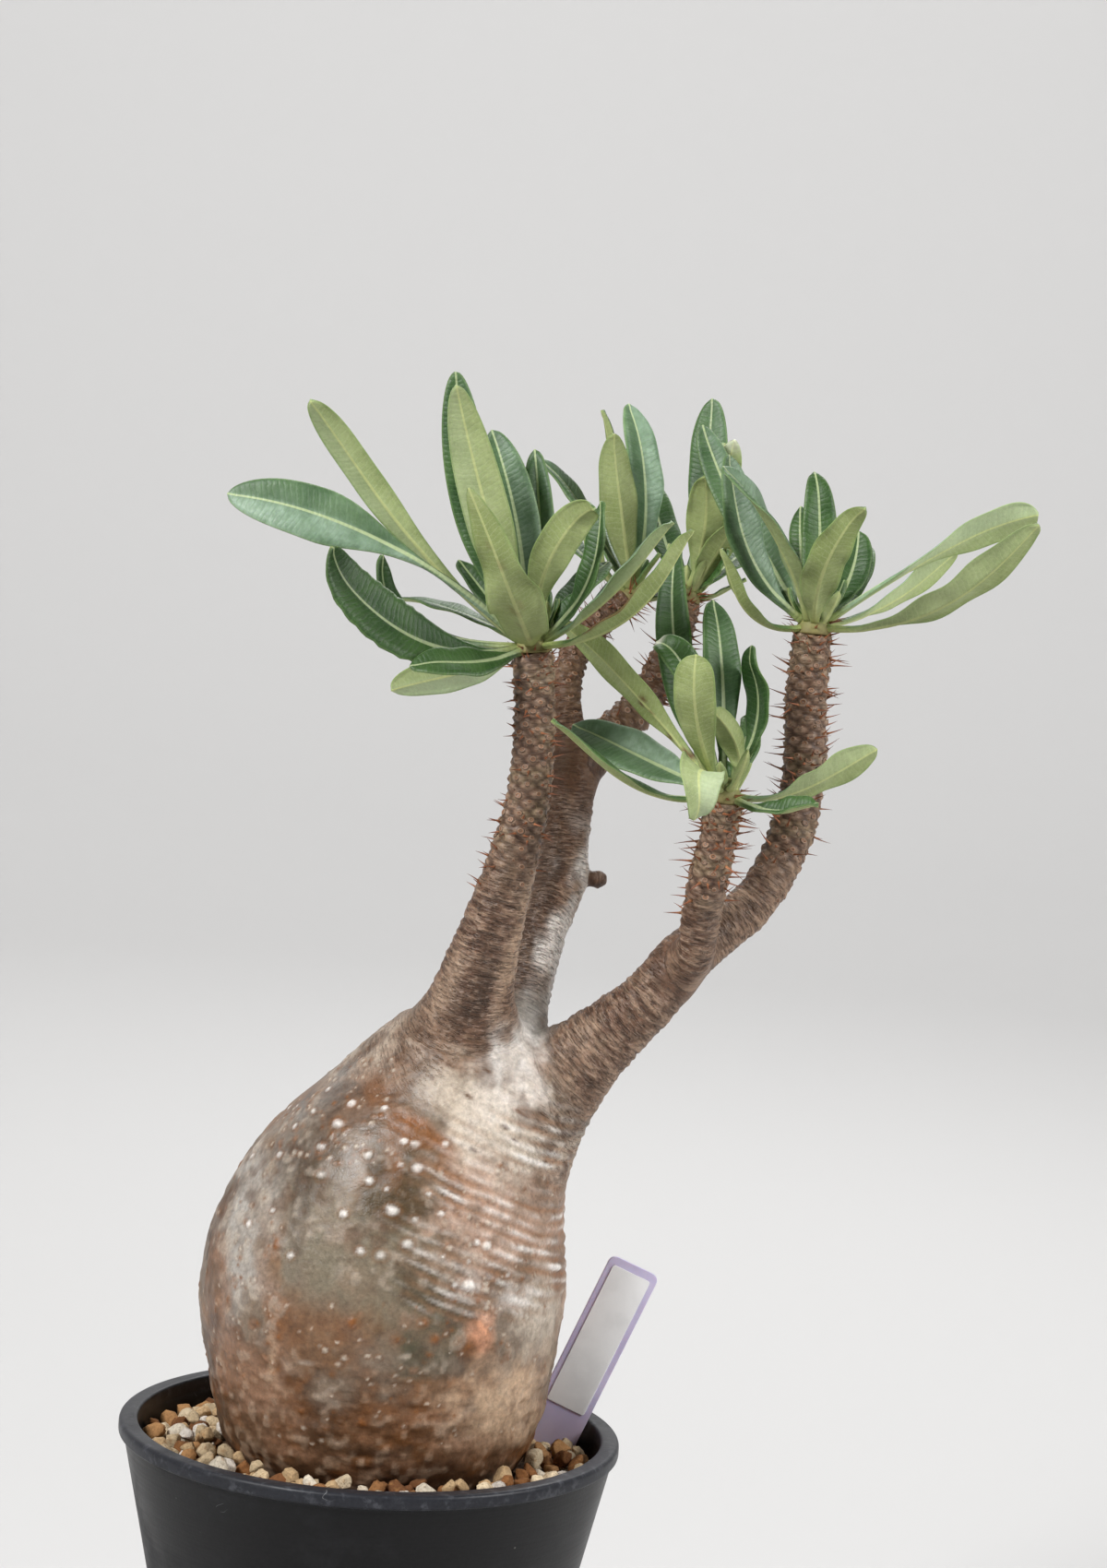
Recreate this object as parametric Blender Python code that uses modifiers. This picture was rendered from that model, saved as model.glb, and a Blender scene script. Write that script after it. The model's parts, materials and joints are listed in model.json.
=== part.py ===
# A potted pachypodium: a swollen, branching succulent rooted in gravel in a round plastic pot,
# with a blank plant label pushed into the gravel. Metres, +Z up, the front towards -Y.
# The origin is the centre of the pot's base.
import math
import random

import bmesh
import bpy
from mathutils import Quaternion, Vector

MM = 0.001
GAP = 0.3 * MM
UP = Vector((0, 0, 1))
GOLDEN_ANGLE = math.radians(137.5)

# The pot, as its wall's outer profile and what hangs from it
POT_HEIGHT = 100 * MM
POT_RIM_RADIUS = 60 * MM
POT_BASE_RADIUS = 37 * MM
POT_LIP_HEIGHT = 3.4 * MM
POT_LIP_STEP = 1.2 * MM
POT_RIM_WIDTH = 4.5 * MM
POT_WALL = 2.2 * MM
POT_FLOOR = 3 * MM
POT_CHAMFER = 1.5 * MM
POT_SIDES = 44
DRAIN_HOLES = 8
DRAIN_RING_RADIUS = 24 * MM
DRAIN_HOLE_RADIUS = 3.5 * MM

# The gravel, mounded slightly towards the plant
GRAVEL_WALL_LEVEL = 93.6 * MM
GRAVEL_MOUND_LEVEL = 95.6 * MM
GRAVEL_MOUND_RADIUS = 42 * MM
GRAVEL_SIDES = 36
GRAIN_TRIES = 2600
GRAIN_RADII = (2.5 * MM, 3.6 * MM)
GRAIN_BIGGEST = 1.2
GRAIN_SPACING = 1.08
GRAIN_RISE = -0.04

# The swollen stem base, as (height, left edge, right edge) in mm where it is seen from the front
CAUDEX_OUTLINE = [
    (40, -3, 3),
    (55, -9, 9.5),
    (70, -19, 21),
    (82, -25, 27.5),
    (91, -31.5, 34.5),
    (98, -35.6, 38.2),
    (107, -38.2, 41.2),
    (118, -40.7, 43),
    (130, -42.9, 44.1),
    (143, -41.8, 43.8),
    (155, -37.6, 43.2),
    (166, -31.6, 42.6),
    (176, -23.6, 41.6),
    (185, -14, 39.5),
    (192, -5.5, 35.5),
    (198, 2, 29),
]
CAUDEX_DEPTH = 0.97
CAUDEX_LEAN_BACK = 3 * MM
CAUDEX_SIDES = 24
CAUDEX_RING_STEP = 7.5 * MM

# The branches, as (x, y, z, radius) in mm from root to tip
BRANCHES = {
    "front_left": [
        (12, 4, 180, 17),
        (15.5, -1, 191, 14.6),
        (17, -5.5, 200.5, 11.8),
        (18.4, -8.2, 210, 9.2),
        (20.8, -10, 221, 7.5),
        (24, -11.5, 234.5, 6.2),
        (27, -12.5, 249, 5.2),
        (28.2, -13.2, 262, 4.7),
        (27.9, -14, 276, 4.7),
        (26.7, -14, 288.5, 4.6),
    ],
    "back": [
        (22, 5, 184, 10),
        (27, 10, 194, 7.6),
        (30, 18, 205, 6.2),
        (33, 28, 219, 6.2),
        (36.4, 34, 230, 6.4),
        (37.2, 37.5, 243, 6),
        (38.1, 40, 258, 5.8),
    ],
    "back_left": [
        (38.1, 39.6, 255, 5),
        (36.4, 41, 267, 4),
        (34.9, 43, 277, 3.6),
        (36.6, 45, 286, 3.5),
        (42, 46.8, 293.5, 3.4),
        (48.6, 48, 299.4, 3.3),
    ],
    "back_right": [
        (38.1, 39.6, 255, 5),
        (45.2, 43, 265.5, 4.5),
        (52.8, 46, 272.5, 4.5),
        (57.3, 48, 280.5, 4.3),
        (60.6, 49, 289, 3.9),
        (63.3, 50, 300.1, 3.4),
    ],
    "right": [
        (24, 2, 172, 16),
        (35, 0.5, 182, 13),
        (43.5, -0.5, 191.2, 10.2),
        (51, -1.2, 199, 8.2),
        (59.2, -2, 207.4, 7),
        (66.2, -1, 217, 6.6),
        (74.1, 1, 223.9, 5.9),
        (81.9, 4, 230.7, 5.4),
        (87.6, 7, 239.5, 5.2),
        (91.6, 9.5, 251, 5.1),
        (93.1, 11, 265, 4.9),
        (92.3, 12, 280, 4.8),
        (92.7, 12, 296, 4.4),
    ],
    "front_right": [
        (65, -2, 213, 4.8),
        (69.3, -8.5, 221, 4.6),
        (70, -12, 229.5, 4.5),
        (70.9, -15.4, 238.5, 4.5),
        (72.2, -18.2, 248, 4.2),
        (73, -20, 257.8, 4.1),
    ],
    "old_stub": [(38, 35, 231, 3), (43, 35.7, 231, 1.9), (46.4, 36, 231, 2.5), (48.2, 36.2, 231, 1.4)],
    "old_scar": [(40, 38.5, 258.8, 3.4), (44, 38.8, 258.8, 2.6), (46, 39, 258.7, 1.5)],
}
BRANCH_SIDES = 10
BRANCH_RING_STEP = 3.2 * MM
BRANCH_RELIEF = 0.055
RELIEF_FREE_RINGS = 3
RELIEF_FREE_RADIUS = 13 * MM
RELIEF_FADE = 5 * MM

# The spines, in pairs, as (branch, share of its length where they start, share where they end)
SPINE_RUNS = [
    ("front_left", 0.52, 0.96),
    ("back_left", 0.3, 0.93),
    ("back_right", 0.2, 0.94),
    ("right", 0.5, 0.97),
    ("front_right", 0.22, 0.93),
]
SPINE_STEP = 6.6 * MM
SPINE_LENGTHS = (4 * MM, 6.6 * MM)
SPINE_RADIUS = 0.5 * MM
SPINE_ROOT = 1.2 * MM
SPINE_SPREAD = math.radians(24)
SPINE_SIDES = 3

# Each head of leaves grows from the end of the branch of the same name. A leaf is (middle of its
# midrib, its tip, width, widest, roll, twist): both points in mm from the head's centre, the width
# in mm and the share of the length where it is widest, and the roll of its face at the root and
# what it gains by the tip in degrees.
HEADS = {
    "front_left": [
        ((-35, -3, 23), (-72, -6, 33), 13.5, 0.74, 72, 0),
        ((-30, -10, 25), (-54, -18, 56), 8, 0.56, -60, 0),
        ((-27.5, -10, 1.5), (-50, -14, 20), 14.5, 0.62, 60, 0),
        ((-30, 14, 4), (-37, 16, 19), 7, 0.6, 20, 0),
        ((-17, 18, 7), (-34, 32, 10), 10, 0.62, 0, 0),
        ((-15, 16, -6), (-33, 30, -12), 10, 0.62, -50, 0),
        ((-13, -12, -2.5), (-27, -20, -2), 9.5, 0.6, 40, 0),
        ((-14.7, 8, 28), (-23, 8, 63.5), 11, 0.6, 75, 0),
        ((-11, -10, 27), (-22, -12, 60.5), 11.5, 0.55, -70, 0),
        ((-5, 2, 27), (-13, 6, 51), 11, 0.58, 70, 0),
        ((0, 8, 25), (-3, 12, 47), 8, 0.55, 30, 0),
        ((-5.5, -26, 14), (-16, -30, 37), 13.5, 0.38, -20, 0),
        ((2, -16, 22), (12, -16, 37), 10.5, 0.6, 30, 0),
        ((12, -8, 18), (13, -6, 36), 8, 0.6, -60, 0),
        ((18, -10, 16), (29, -12, 33), 10.5, 0.6, 30, 0),
        ((22, -20, 11), (33, -20, 31), 10.5, 0.55, 40, 0),
        ((7, 0, 9), (10, 2, 15), 6, 0.6, -30, 0),
        ((-11, 8, 11), (-19, 12, 20), 6, 0.6, 30, 0),
        ((8, 14, 13), (16, 25, 22), 9, 0.62, 0, 0),
    ],
    "front_right": [
        ((-8, -18, 18), (-10, -24, 34), 9.5, 0.62, -15, 0),
        ((-19, 11, 20), (-39, 24, 38), 11, 0.66, -60, 0),
        ((-18, 12, 7), (-36, 22, 14), 12.5, 0.6, 40, 0),
        ((-21, -6, 2), (-40, -8, 17), 8, 0.62, 5, 0),
        ((-8, -21, 10.5), (-4, -26, -1), 11, 0.6, 0, 0),
        ((-2, 4, 26), (-5, 12, 46), 9.5, 0.6, 0, 0),
        ((7, 4, 21), (2, 0, 35), 9, 0.6, -70, 0),
        ((5, 12, 11), (5, 18, 19), 6, 0.6, -30, 0),
        ((2, -2, 13), (-5, -10, 22), 7, 0.6, -60, 0),
        ((16, -2, 3), (34, 4, 14), 9.5, 0.68, -10, 90),
        ((12, -10, -1), (20, -14, 3), 8, 0.6, -30, 0),
        ((-9, -2, 26), (-18, 0, 37), 9, 0.62, 60, 0),
        ((-12, 8, 26), (-16, 22, 57), 9, 0.6, 60, 0),
    ],
    "right": [
        ((-17, -4, 18), (-23, -6, 41), 10, 0.6, 60, 0),
        ((-10, -14, 21), (-24, -20, 39), 10, 0.62, -20, 80),
        ((-16, -8, 4), (-23, -12, 19), 7, 0.6, 0, 0),
        ((-11, 4, 16), (-19, 8, 30), 10, 0.6, 60, 0),
        ((-3, 14, 17), (-4, 22, 30), 6, 0.6, 40, 0),
        ((1, 10, 19), (-1, 14, 40), 9, 0.5, 0, 0),
        ((0.5, -16, 17), (8, -20, 32), 11, 0.46, 15, 0),
        ((8.5, 10, 13), (10.5, 16, 25), 8.5, 0.6, -20, 0),
        ((25.5, 2, 19.5), (51, 4, 34), 10.5, 0.74, -15, 85),
        ((20, 12, 9), (34, 18, 22), 10, 0.66, -40, 80),
        ((29, -12, 8.5), (49, -18, 30), 11, 0.58, 35, 0),
        ((-19, 18, 27), (-29, 26, 48), 8, 0.6, 40, 0),
        ((8, 20, 9), (14, 38, 22), 10, 0.62, 0, 0),
    ],
    "back_right": [
        ((3, 5, 26), (3, 10, 51), 10, 0.66, 0, 0),
        ((4, 2, 22), (6, 4, 40), 8, 0.6, 70, 0),
        ((5, -6, 21), (9, -10, 41), 8, 0.6, 60, 0),
        ((3, -8, 18), (2, -14, 32), 9.5, 0.6, 0, 0),
        ((5, -6, 10), (10, -12, 21), 8, 0.6, 20, 0),
        ((6, -4, 8), (9, -8, 14), 8, 0.6, -60, 0),
        ((7, 0, 2), (14, -2, 7), 6, 0.6, 0, 0),
        ((10, 16, 9), (22, 34, 20), 10, 0.62, 0, 0),
        ((-6, 15, 14), (-12, 32, 32), 10, 0.62, 0, 0),
    ],
    "back_left": [
        ((-11, -2, 20), (-23, -6, 34), 10, 0.6, 30, 0),
        ((-4, 6, 23), (-8, 10, 47), 9, 0.6, -60, 0),
        ((-3, -6, 21), (-7, -8, 41), 10.5, 0.58, -75, 0),
        ((3, 2, 25), (-2, 4, 49), 11.5, 0.62, 0, 0),
        ((-9, -4, 11), (-11, -10, 23), 6, 0.6, 0, 0),
        ((-14, 10, 12), (-30, 20, 26), 10, 0.62, 0, 0),
        ((-2, 18, 10), (-4, 38, 20), 10, 0.62, 0, 0),
    ],
}
LEAF_SEGMENTS = 7
LEAF_STEP_BIAS = 1.3
LEAF_EDGE = 0.6 * MM
LEAF_MIDRIB = 1.2 * MM
PETIOLE_THICKNESS = 1.8 * MM
PETIOLE_WIDTH = 2.6 * MM
LEAF_FOLD = math.radians(14)
LEAF_BLUNTNESS = 0.6
LEAF_TIP_WIDTH = 0.28
LEAF_WAVE = 0.06
LEAF_WAVES = 2.5
CORE_LENGTH = 7 * MM
CORE_SIDES = 8
LEAF_ROOT_OUT = 0.35
LEAF_ROOT_RISE = (2.2 * MM, 5 * MM)

# The plant label
LABEL_WIDTH = 13 * MM
LABEL_LENGTH = 82 * MM
LABEL_THICKNESS = 1 * MM
LABEL_CORNER = 2.2 * MM
LABEL_POINT = 14 * MM
LABEL_TOP = Vector((61.4, 15, 139.8)) * MM
LABEL_LEAN = math.radians(22.2)
STICKER_WIDTH = 10 * MM
STICKER_LENGTH = 37 * MM
STICKER_THICKNESS = 0.3 * MM
STICKER_BELOW_TOP = 2 * MM
STICKER_CORNER = 0.8 * MM
CORNER_STEPS = 3


def clear_scene():
    for obj in list(bpy.data.objects):
        bpy.data.objects.remove(obj)


def new_collection(name):
    collection = bpy.data.collections.new(name)
    bpy.context.scene.collection.children.link(collection)
    return collection


def new_material(name, colour, roughness):
    material = bpy.data.materials.new(name)
    material.use_nodes = True
    shader = material.node_tree.nodes["Principled BSDF"]
    shader.inputs["Base Color"].default_value = (*colour, 1)
    shader.inputs["Roughness"].default_value = roughness
    shader.inputs["Metallic"].default_value = 0
    return material


def new_object(name, data, collection, material=None):
    obj = bpy.data.objects.new(name, data)
    collection.objects.link(obj)
    if material:
        data.materials.clear()
        data.materials.append(material)
    return obj


def mesh_from(name, shape):
    bmesh.ops.recalc_face_normals(shape, faces=shape.faces)
    mesh = bpy.data.meshes.new(name)
    shape.to_mesh(mesh)
    shape.free()
    return mesh


# A smooth curve through the points, each as long a tuple as the first
def smooth_through(points, steps):
    rows = [Vector(point) for point in points]
    ends = [rows[0] * 2 - rows[1]] + rows + [rows[-1] * 2 - rows[-2]]
    found = []
    for before, start, end, after in zip(ends, ends[1:], ends[2:], ends[3:]):
        for step in range(steps):
            t = step / steps
            found.append(
                0.5
                * (
                    start * 2
                    + (end - before) * t
                    + (before * 2 - start * 5 + end * 4 - after) * t**2
                    + (start * 3 - before - end * 3 + after) * t**3
                )
            )
    return found + [rows[-1]]


# The same curve, at even steps measured along its first `measured` numbers
def evenly_through(points, spacing, measured):
    fine = smooth_through(points, 24)
    lengths = [0]
    for a, b in zip(fine, fine[1:]):
        lengths.append(lengths[-1] + (Vector(b[:measured]) - Vector(a[:measured])).length)
    count = max(2, round(lengths[-1] / spacing))
    found = []
    place = 0
    for step in range(count + 1):
        wanted = lengths[-1] * step / count
        while place < len(fine) - 2 and lengths[place + 1] < wanted:
            place += 1
        share = (wanted - lengths[place]) / (lengths[place + 1] - lengths[place])
        found.append(fine[place].lerp(fine[place + 1], min(1, share)))
    return found


# A closed skin over rings of equal count. The faces between two rings are triangles, each cut from
# the ring's even points, so that a raised pattern keeps its peaks.
def skin(rings):
    shape = bmesh.new()
    loops = [[shape.verts.new(point) for point in ring] for ring in rings]
    count = len(loops[0])
    for row, (low, high) in enumerate(zip(loops, loops[1:])):
        for here in range(count):
            there = (here + 1) % count
            if (row + here) % 2:
                shape.faces.new((low[here], low[there], high[here]))
                shape.faces.new((low[there], high[there], high[here]))
            else:
                shape.faces.new((low[here], low[there], high[there]))
                shape.faces.new((low[here], high[there], high[here]))
    shape.faces.new(loops[0])
    shape.faces.new(loops[-1])
    return shape


# The shells of a mesh, each as its faces
def shells_of(shape):
    left = set(shape.faces)
    while left:
        shell = {left.pop()}
        edge_of_search = list(shell)
        while edge_of_search:
            face = edge_of_search.pop()
            near = {other for edge in face.edges for other in edge.link_faces} & left
            left -= near
            shell |= near
            edge_of_search.extend(near)
        yield list(shell)


def volume_under(faces):
    total = 0
    for face in faces:
        first = face.verts[0].co
        for a, b in zip(face.verts[1:], face.verts[2:]):
            total += first.dot(a.co.cross(b.co)) / 6
    return total


# Sealed hollows and loose scraps that a Boolean leaves are dropped
def keep_main_shell(mesh):
    shape = bmesh.new()
    shape.from_mesh(mesh)
    bmesh.ops.triangulate(shape, faces=shape.faces)
    shells = sorted(shells_of(shape), key=volume_under)
    for shell in shells[:-1]:
        bmesh.ops.delete(shape, geom=shell, context="FACES")
    shape.to_mesh(mesh)
    shape.free()


# Applies one Boolean with a collection of meshes, which are then removed
def combine(obj, meshes, operation, solver="EXACT"):
    others = bpy.data.collections.new("others")
    for mesh in meshes:
        others.objects.link(bpy.data.objects.new("other", mesh))
    bpy.context.scene.collection.children.link(others)
    modifier = obj.modifiers.new("Combine", "BOOLEAN")
    modifier.operation = operation
    modifier.operand_type = "COLLECTION"
    modifier.collection = others
    modifier.solver = solver
    graph = bpy.context.evaluated_depsgraph_get()
    joined = bpy.data.meshes.new_from_object(obj.evaluated_get(graph))
    obj.modifiers.clear()
    keep_main_shell(joined)
    obj.data = joined
    for other in list(others.objects):
        bpy.data.objects.remove(other)
    bpy.data.collections.remove(others)


# The pot's inner wall widens evenly from its foot to the lip, and is upright above that
def pot_inner_radius(height):
    foot = POT_BASE_RADIUS - POT_WALL
    mouth = POT_RIM_RADIUS - POT_RIM_WIDTH
    return foot + (mouth - foot) * min(1, height / (POT_HEIGHT - POT_LIP_HEIGHT))


def turned(name, profile, sides, collection, material):
    mesh = bpy.data.meshes.new(name)
    points = [(radius, 0, height) for radius, height in profile]
    mesh.from_pydata(points, [(i, i + 1) for i in range(len(points) - 1)], [])
    obj = new_object(name, mesh, collection, material)
    screw = obj.modifiers.new("Turn", "SCREW")
    screw.steps = sides
    screw.render_steps = sides
    screw.use_merge_vertices = True
    screw.merge_threshold = 0.00005
    return obj


def make_pot(collection, material):
    lip_low = POT_HEIGHT - POT_LIP_HEIGHT
    wall_top = POT_RIM_RADIUS - POT_LIP_STEP
    rim_round = 1.1 * MM
    inner_rim = POT_RIM_RADIUS - POT_RIM_WIDTH
    profile = [
        (0, POT_FLOOR),
        (pot_inner_radius(POT_FLOOR), POT_FLOOR),
        (pot_inner_radius(lip_low), lip_low),
        (inner_rim, POT_HEIGHT - rim_round * 0.5),
        (inner_rim + rim_round * 0.5, POT_HEIGHT),
        (POT_RIM_RADIUS - rim_round, POT_HEIGHT),
        (POT_RIM_RADIUS, POT_HEIGHT - rim_round),
        (POT_RIM_RADIUS, lip_low + rim_round * 0.7),
        (POT_RIM_RADIUS - rim_round * 0.7, lip_low),
        (wall_top, lip_low),
        (POT_BASE_RADIUS + POT_CHAMFER * 0.3, POT_CHAMFER),
        (POT_BASE_RADIUS - POT_CHAMFER, 0),
        (0, 0),
    ]
    pot = turned("pot", profile, POT_SIDES, collection, material)
    holes = []
    for number in range(DRAIN_HOLES):
        angle = math.tau * (number + 0.5) / DRAIN_HOLES
        shape = bmesh.new()
        bmesh.ops.create_cone(
            shape,
            cap_ends=True,
            segments=10,
            radius1=DRAIN_HOLE_RADIUS,
            radius2=DRAIN_HOLE_RADIUS,
            depth=POT_FLOOR * 4,
        )
        place = Vector((math.cos(angle), math.sin(angle), 0)) * DRAIN_RING_RADIUS
        bmesh.ops.translate(shape, verts=shape.verts, vec=place)
        holes.append(mesh_from("hole", shape))
    combine(pot, holes, "DIFFERENCE")
    return pot


# The swollen base as rings, grown by `grow` for the hollow that it leaves in the gravel
def caudex_rings(grow=0, top=None):
    rows = evenly_through(CAUDEX_OUTLINE, CAUDEX_RING_STEP / MM, 2)
    first_height = rows[0][0]
    height_range = rows[-1][0] - first_height
    rings = []
    for height, left, right in rows:
        if top is not None and height * MM > top:
            break
        share = (height - first_height) / height_range
        centre = Vector(((left + right) / 2 * MM, CAUDEX_LEAN_BACK * share, height * MM))
        radius = (right - left) / 2 * MM + grow
        rings.append(
            [
                centre
                + Vector((math.cos(angle) * radius, math.sin(angle) * radius * CAUDEX_DEPTH, 0))
                for angle in (math.tau * side / CAUDEX_SIDES for side in range(CAUDEX_SIDES))
            ]
        )
    if grow:
        rings.insert(0, [point - UP * grow for point in rings[0]])
    return rings


# The stations along a branch: its centre, direction, two directions across it, and its radius
def branch_stations(points):
    rows = evenly_through(points, BRANCH_RING_STEP / MM, 3)
    centres = [Vector(row[:3]) * MM for row in rows]
    stations = []
    across = None
    for number, centre in enumerate(centres):
        before = centres[max(0, number - 1)]
        after = centres[min(len(centres) - 1, number + 1)]
        along = (after - before).normalized()
        if across is None:
            across = along.orthogonal()
        across = (across - along * across.dot(along)).normalized()
        stations.append((centre, along, across, along.cross(across), rows[number][3] * MM))
    return stations


# A stem with staggered scars: every other point of a ring stands out, and the next ring is turned
def branch_mesh(name, stations):
    rings = []
    last = len(stations) - 1
    for row, (centre, along, across, out, radius) in enumerate(stations):
        near_end = min(row, last - row)
        relief = BRANCH_RELIEF * min(1, max(0, near_end - RELIEF_FREE_RINGS + 2) / 2)
        relief *= min(1, max(0, (RELIEF_FREE_RADIUS - radius) / RELIEF_FADE))
        ring = []
        for side in range(BRANCH_SIDES):
            angle = math.tau * side / BRANCH_SIDES
            reach = radius * (1 + (relief if (row + side) % 2 else -relief))
            ring.append(centre + (across * math.cos(angle) + out * math.sin(angle)) * reach)
        rings.append(ring)
    return mesh_from(name, skin(rings))


def spine_mesh(root, direction, length):
    shape = bmesh.new()
    bmesh.ops.create_cone(
        shape,
        cap_ends=True,
        segments=SPINE_SIDES,
        radius1=SPINE_RADIUS,
        radius2=0,
        depth=length + SPINE_ROOT,
    )
    turn = UP.rotation_difference(direction)
    bmesh.ops.translate(shape, verts=shape.verts, vec=UP * (length - SPINE_ROOT) / 2)
    bmesh.ops.rotate(shape, verts=shape.verts, cent=(0, 0, 0), matrix=turn.to_matrix())
    bmesh.ops.translate(shape, verts=shape.verts, vec=root)
    return mesh_from("spine", shape)


# Pairs of spines that wind up a branch by the golden angle
def spines_along(stations, first_share, last_share, draw):
    steps_between = SPINE_STEP / BRANCH_RING_STEP
    place = first_share * (len(stations) - 1)
    angle = draw.uniform(0, math.tau)
    meshes = []
    while place < last_share * (len(stations) - 1):
        centre, along, across, out, radius = stations[round(place)]
        for lean in (-SPINE_SPREAD, SPINE_SPREAD):
            turned_angle = angle + lean
            outward = across * math.cos(turned_angle) + out * math.sin(turned_angle)
            direction = (outward + along * draw.uniform(-0.15, 0.35)).normalized()
            length = draw.uniform(*SPINE_LENGTHS)
            meshes.append(spine_mesh(centre + outward * radius * 0.92, direction, length))
        angle += GOLDEN_ANGLE
        place += steps_between
    return meshes


def make_plant_body(collection, material):
    draw = random.Random(7)
    stations = {name: branch_stations(points) for name, points in BRANCHES.items()}
    body = new_object("plant_body", mesh_from("caudex", skin(caudex_rings())), collection)
    combine(body, [branch_mesh(name, rows) for name, rows in stations.items()], "UNION")
    spines = []
    for name, first_share, last_share in SPINE_RUNS:
        spines += spines_along(stations[name], first_share, last_share, draw)
    combine(body, spines, "UNION", "MANIFOLD")
    body.data.materials.clear()
    body.data.materials.append(material)
    return {name: rows[-1] for name, rows in stations.items()}


# Half the width of a leaf at a share of its length: a narrow petiole, then a spatulate blade
def leaf_half_width(share, width, widest):
    bend = math.log(0.5) / math.log(widest)
    blade = math.sin(math.pi * share**bend) ** LEAF_BLUNTNESS if share < 1 else 0
    petiole = PETIOLE_WIDTH / 2 * (1 - share)
    return max(petiole, width / 2 * max(blade, LEAF_TIP_WIDTH if share > 0.5 else 0))


# The six points round a leaf at a share of its length: three above and three below
def leaf_ring(root, middle, tip, share, half, roll, heading):
    control = middle * 2 - (root + tip) / 2
    centre = root * (1 - share) ** 2 + control * 2 * share * (1 - share) + tip * share**2
    along = ((control - root) * (1 - share) + (tip - control) * share).normalized()
    side = Vector((-heading.y, heading.x, 0))
    side = (side - along * side.dot(along)).normalized()
    side.rotate(Quaternion(along, -roll))
    face = along.cross(side)
    wave = math.sin(math.tau * LEAF_WAVES * share) * LEAF_WAVE * half * math.sin(math.pi * share)
    lift = half * math.sin(LEAF_FOLD)
    reach = half * math.cos(LEAF_FOLD)
    middle_half = (PETIOLE_THICKNESS + (LEAF_MIDRIB - PETIOLE_THICKNESS) * share) / 2
    edge_half = LEAF_EDGE / 2
    edge_a = centre + side * reach + face * (lift + wave)
    edge_b = centre - side * reach + face * (lift - wave)
    return [
        edge_a + face * edge_half,
        centre + face * middle_half,
        edge_b + face * edge_half,
        edge_b - face * edge_half,
        centre - face * middle_half,
        edge_a - face * edge_half,
    ]


# A leaf, whose upper and under faces are cut into triangles alike
def leaf_mesh(root, middle, tip, width, widest, roll, twist):
    heading = Vector((tip.x - root.x, tip.y - root.y, 0)).normalized()
    rings = []
    for step in range(LEAF_SEGMENTS + 1):
        share = 1 - (1 - step / LEAF_SEGMENTS) ** LEAF_STEP_BIAS
        half = leaf_half_width(share, width, widest)
        turned_by = math.radians(roll + twist * share)
        rings.append(leaf_ring(root, middle, tip, share, half, turned_by, heading))
    shape = bmesh.new()
    loops = [[shape.verts.new(point) for point in ring] for ring in rings]
    for low, high in zip(loops, loops[1:]):
        for edge, inner in ((0, 1), (2, 1), (3, 4), (5, 4), (2, 3), (5, 0)):
            shape.faces.new((low[edge], low[inner], high[inner]))
            shape.faces.new((low[edge], high[inner], high[edge]))
    for ring in (loops[0], loops[-1]):
        shape.faces.new((ring[0], ring[1], ring[4], ring[5]))
        shape.faces.new((ring[1], ring[2], ring[3], ring[4]))
    return mesh_from("leaf", shape)


# The green growing tip that a head's leaves stand on, just clear of the stem's end
def core_mesh(station):
    centre, along, across, out, radius = station
    rings = []
    for share, spread in ((0, 0.96), (0.45, 0.92), (0.8, 0.66), (1, 0.25)):
        middle = centre + along * (GAP + CORE_LENGTH * share)
        rings.append(
            [
                middle + (across * math.cos(angle) + out * math.sin(angle)) * radius * spread
                for angle in (math.tau * side / CORE_SIDES for side in range(CORE_SIDES))
            ]
        )
    return mesh_from("core", skin(rings))


def make_head(name, station, leaves, collection, material):
    centre, along, _, _, radius = station
    meshes = []
    for middle, tip, width, widest, roll, twist in leaves:
        middle = centre + Vector(middle) * MM
        tip = centre + Vector(tip) * MM
        low, high = LEAF_ROOT_RISE
        steepness = (middle - centre).normalized().dot(along)
        rise = low + (high - low) * min(1, max(0, steepness))
        outward = middle - centre
        outward = (outward - along * outward.dot(along)).normalized()
        root = centre + along * rise + outward * radius * LEAF_ROOT_OUT
        meshes.append(leaf_mesh(root, middle, tip, width * MM, widest, roll, twist))
    head = new_object("rosette_" + name, core_mesh(station), collection)
    combine(head, meshes, "UNION")
    head.data.materials.clear()
    head.data.materials.append(material)
    return head


# One grain: a rounded stone with few faces, jittered so that no two are alike
def grain_mesh(place, radius, draw):
    shape = bmesh.new()
    bmesh.ops.create_icosphere(shape, subdivisions=1, radius=radius)
    stretch = Vector((draw.uniform(0.8, 1.13), draw.uniform(0.8, 1.13), draw.uniform(0.75, 1)))
    turn = Quaternion((draw.gauss(0, 1), draw.gauss(0, 1), draw.gauss(0, 1), draw.gauss(0, 1)))
    turn.normalize()
    for vert in shape.verts:
        vert.co = Vector([a * b for a, b in zip(vert.co, stretch)]) * draw.uniform(0.88, 1.06)
        vert.co.rotate(turn)
        vert.co += place
    return mesh_from("grain", shape)


def gravel_level(radius):
    share = (radius - GRAVEL_MOUND_RADIUS) / (pot_inner_radius(POT_HEIGHT) - GRAVEL_MOUND_RADIUS)
    share = min(1, max(0, share))
    return GRAVEL_MOUND_LEVEL + (GRAVEL_WALL_LEVEL - GRAVEL_MOUND_LEVEL) * share


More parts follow.
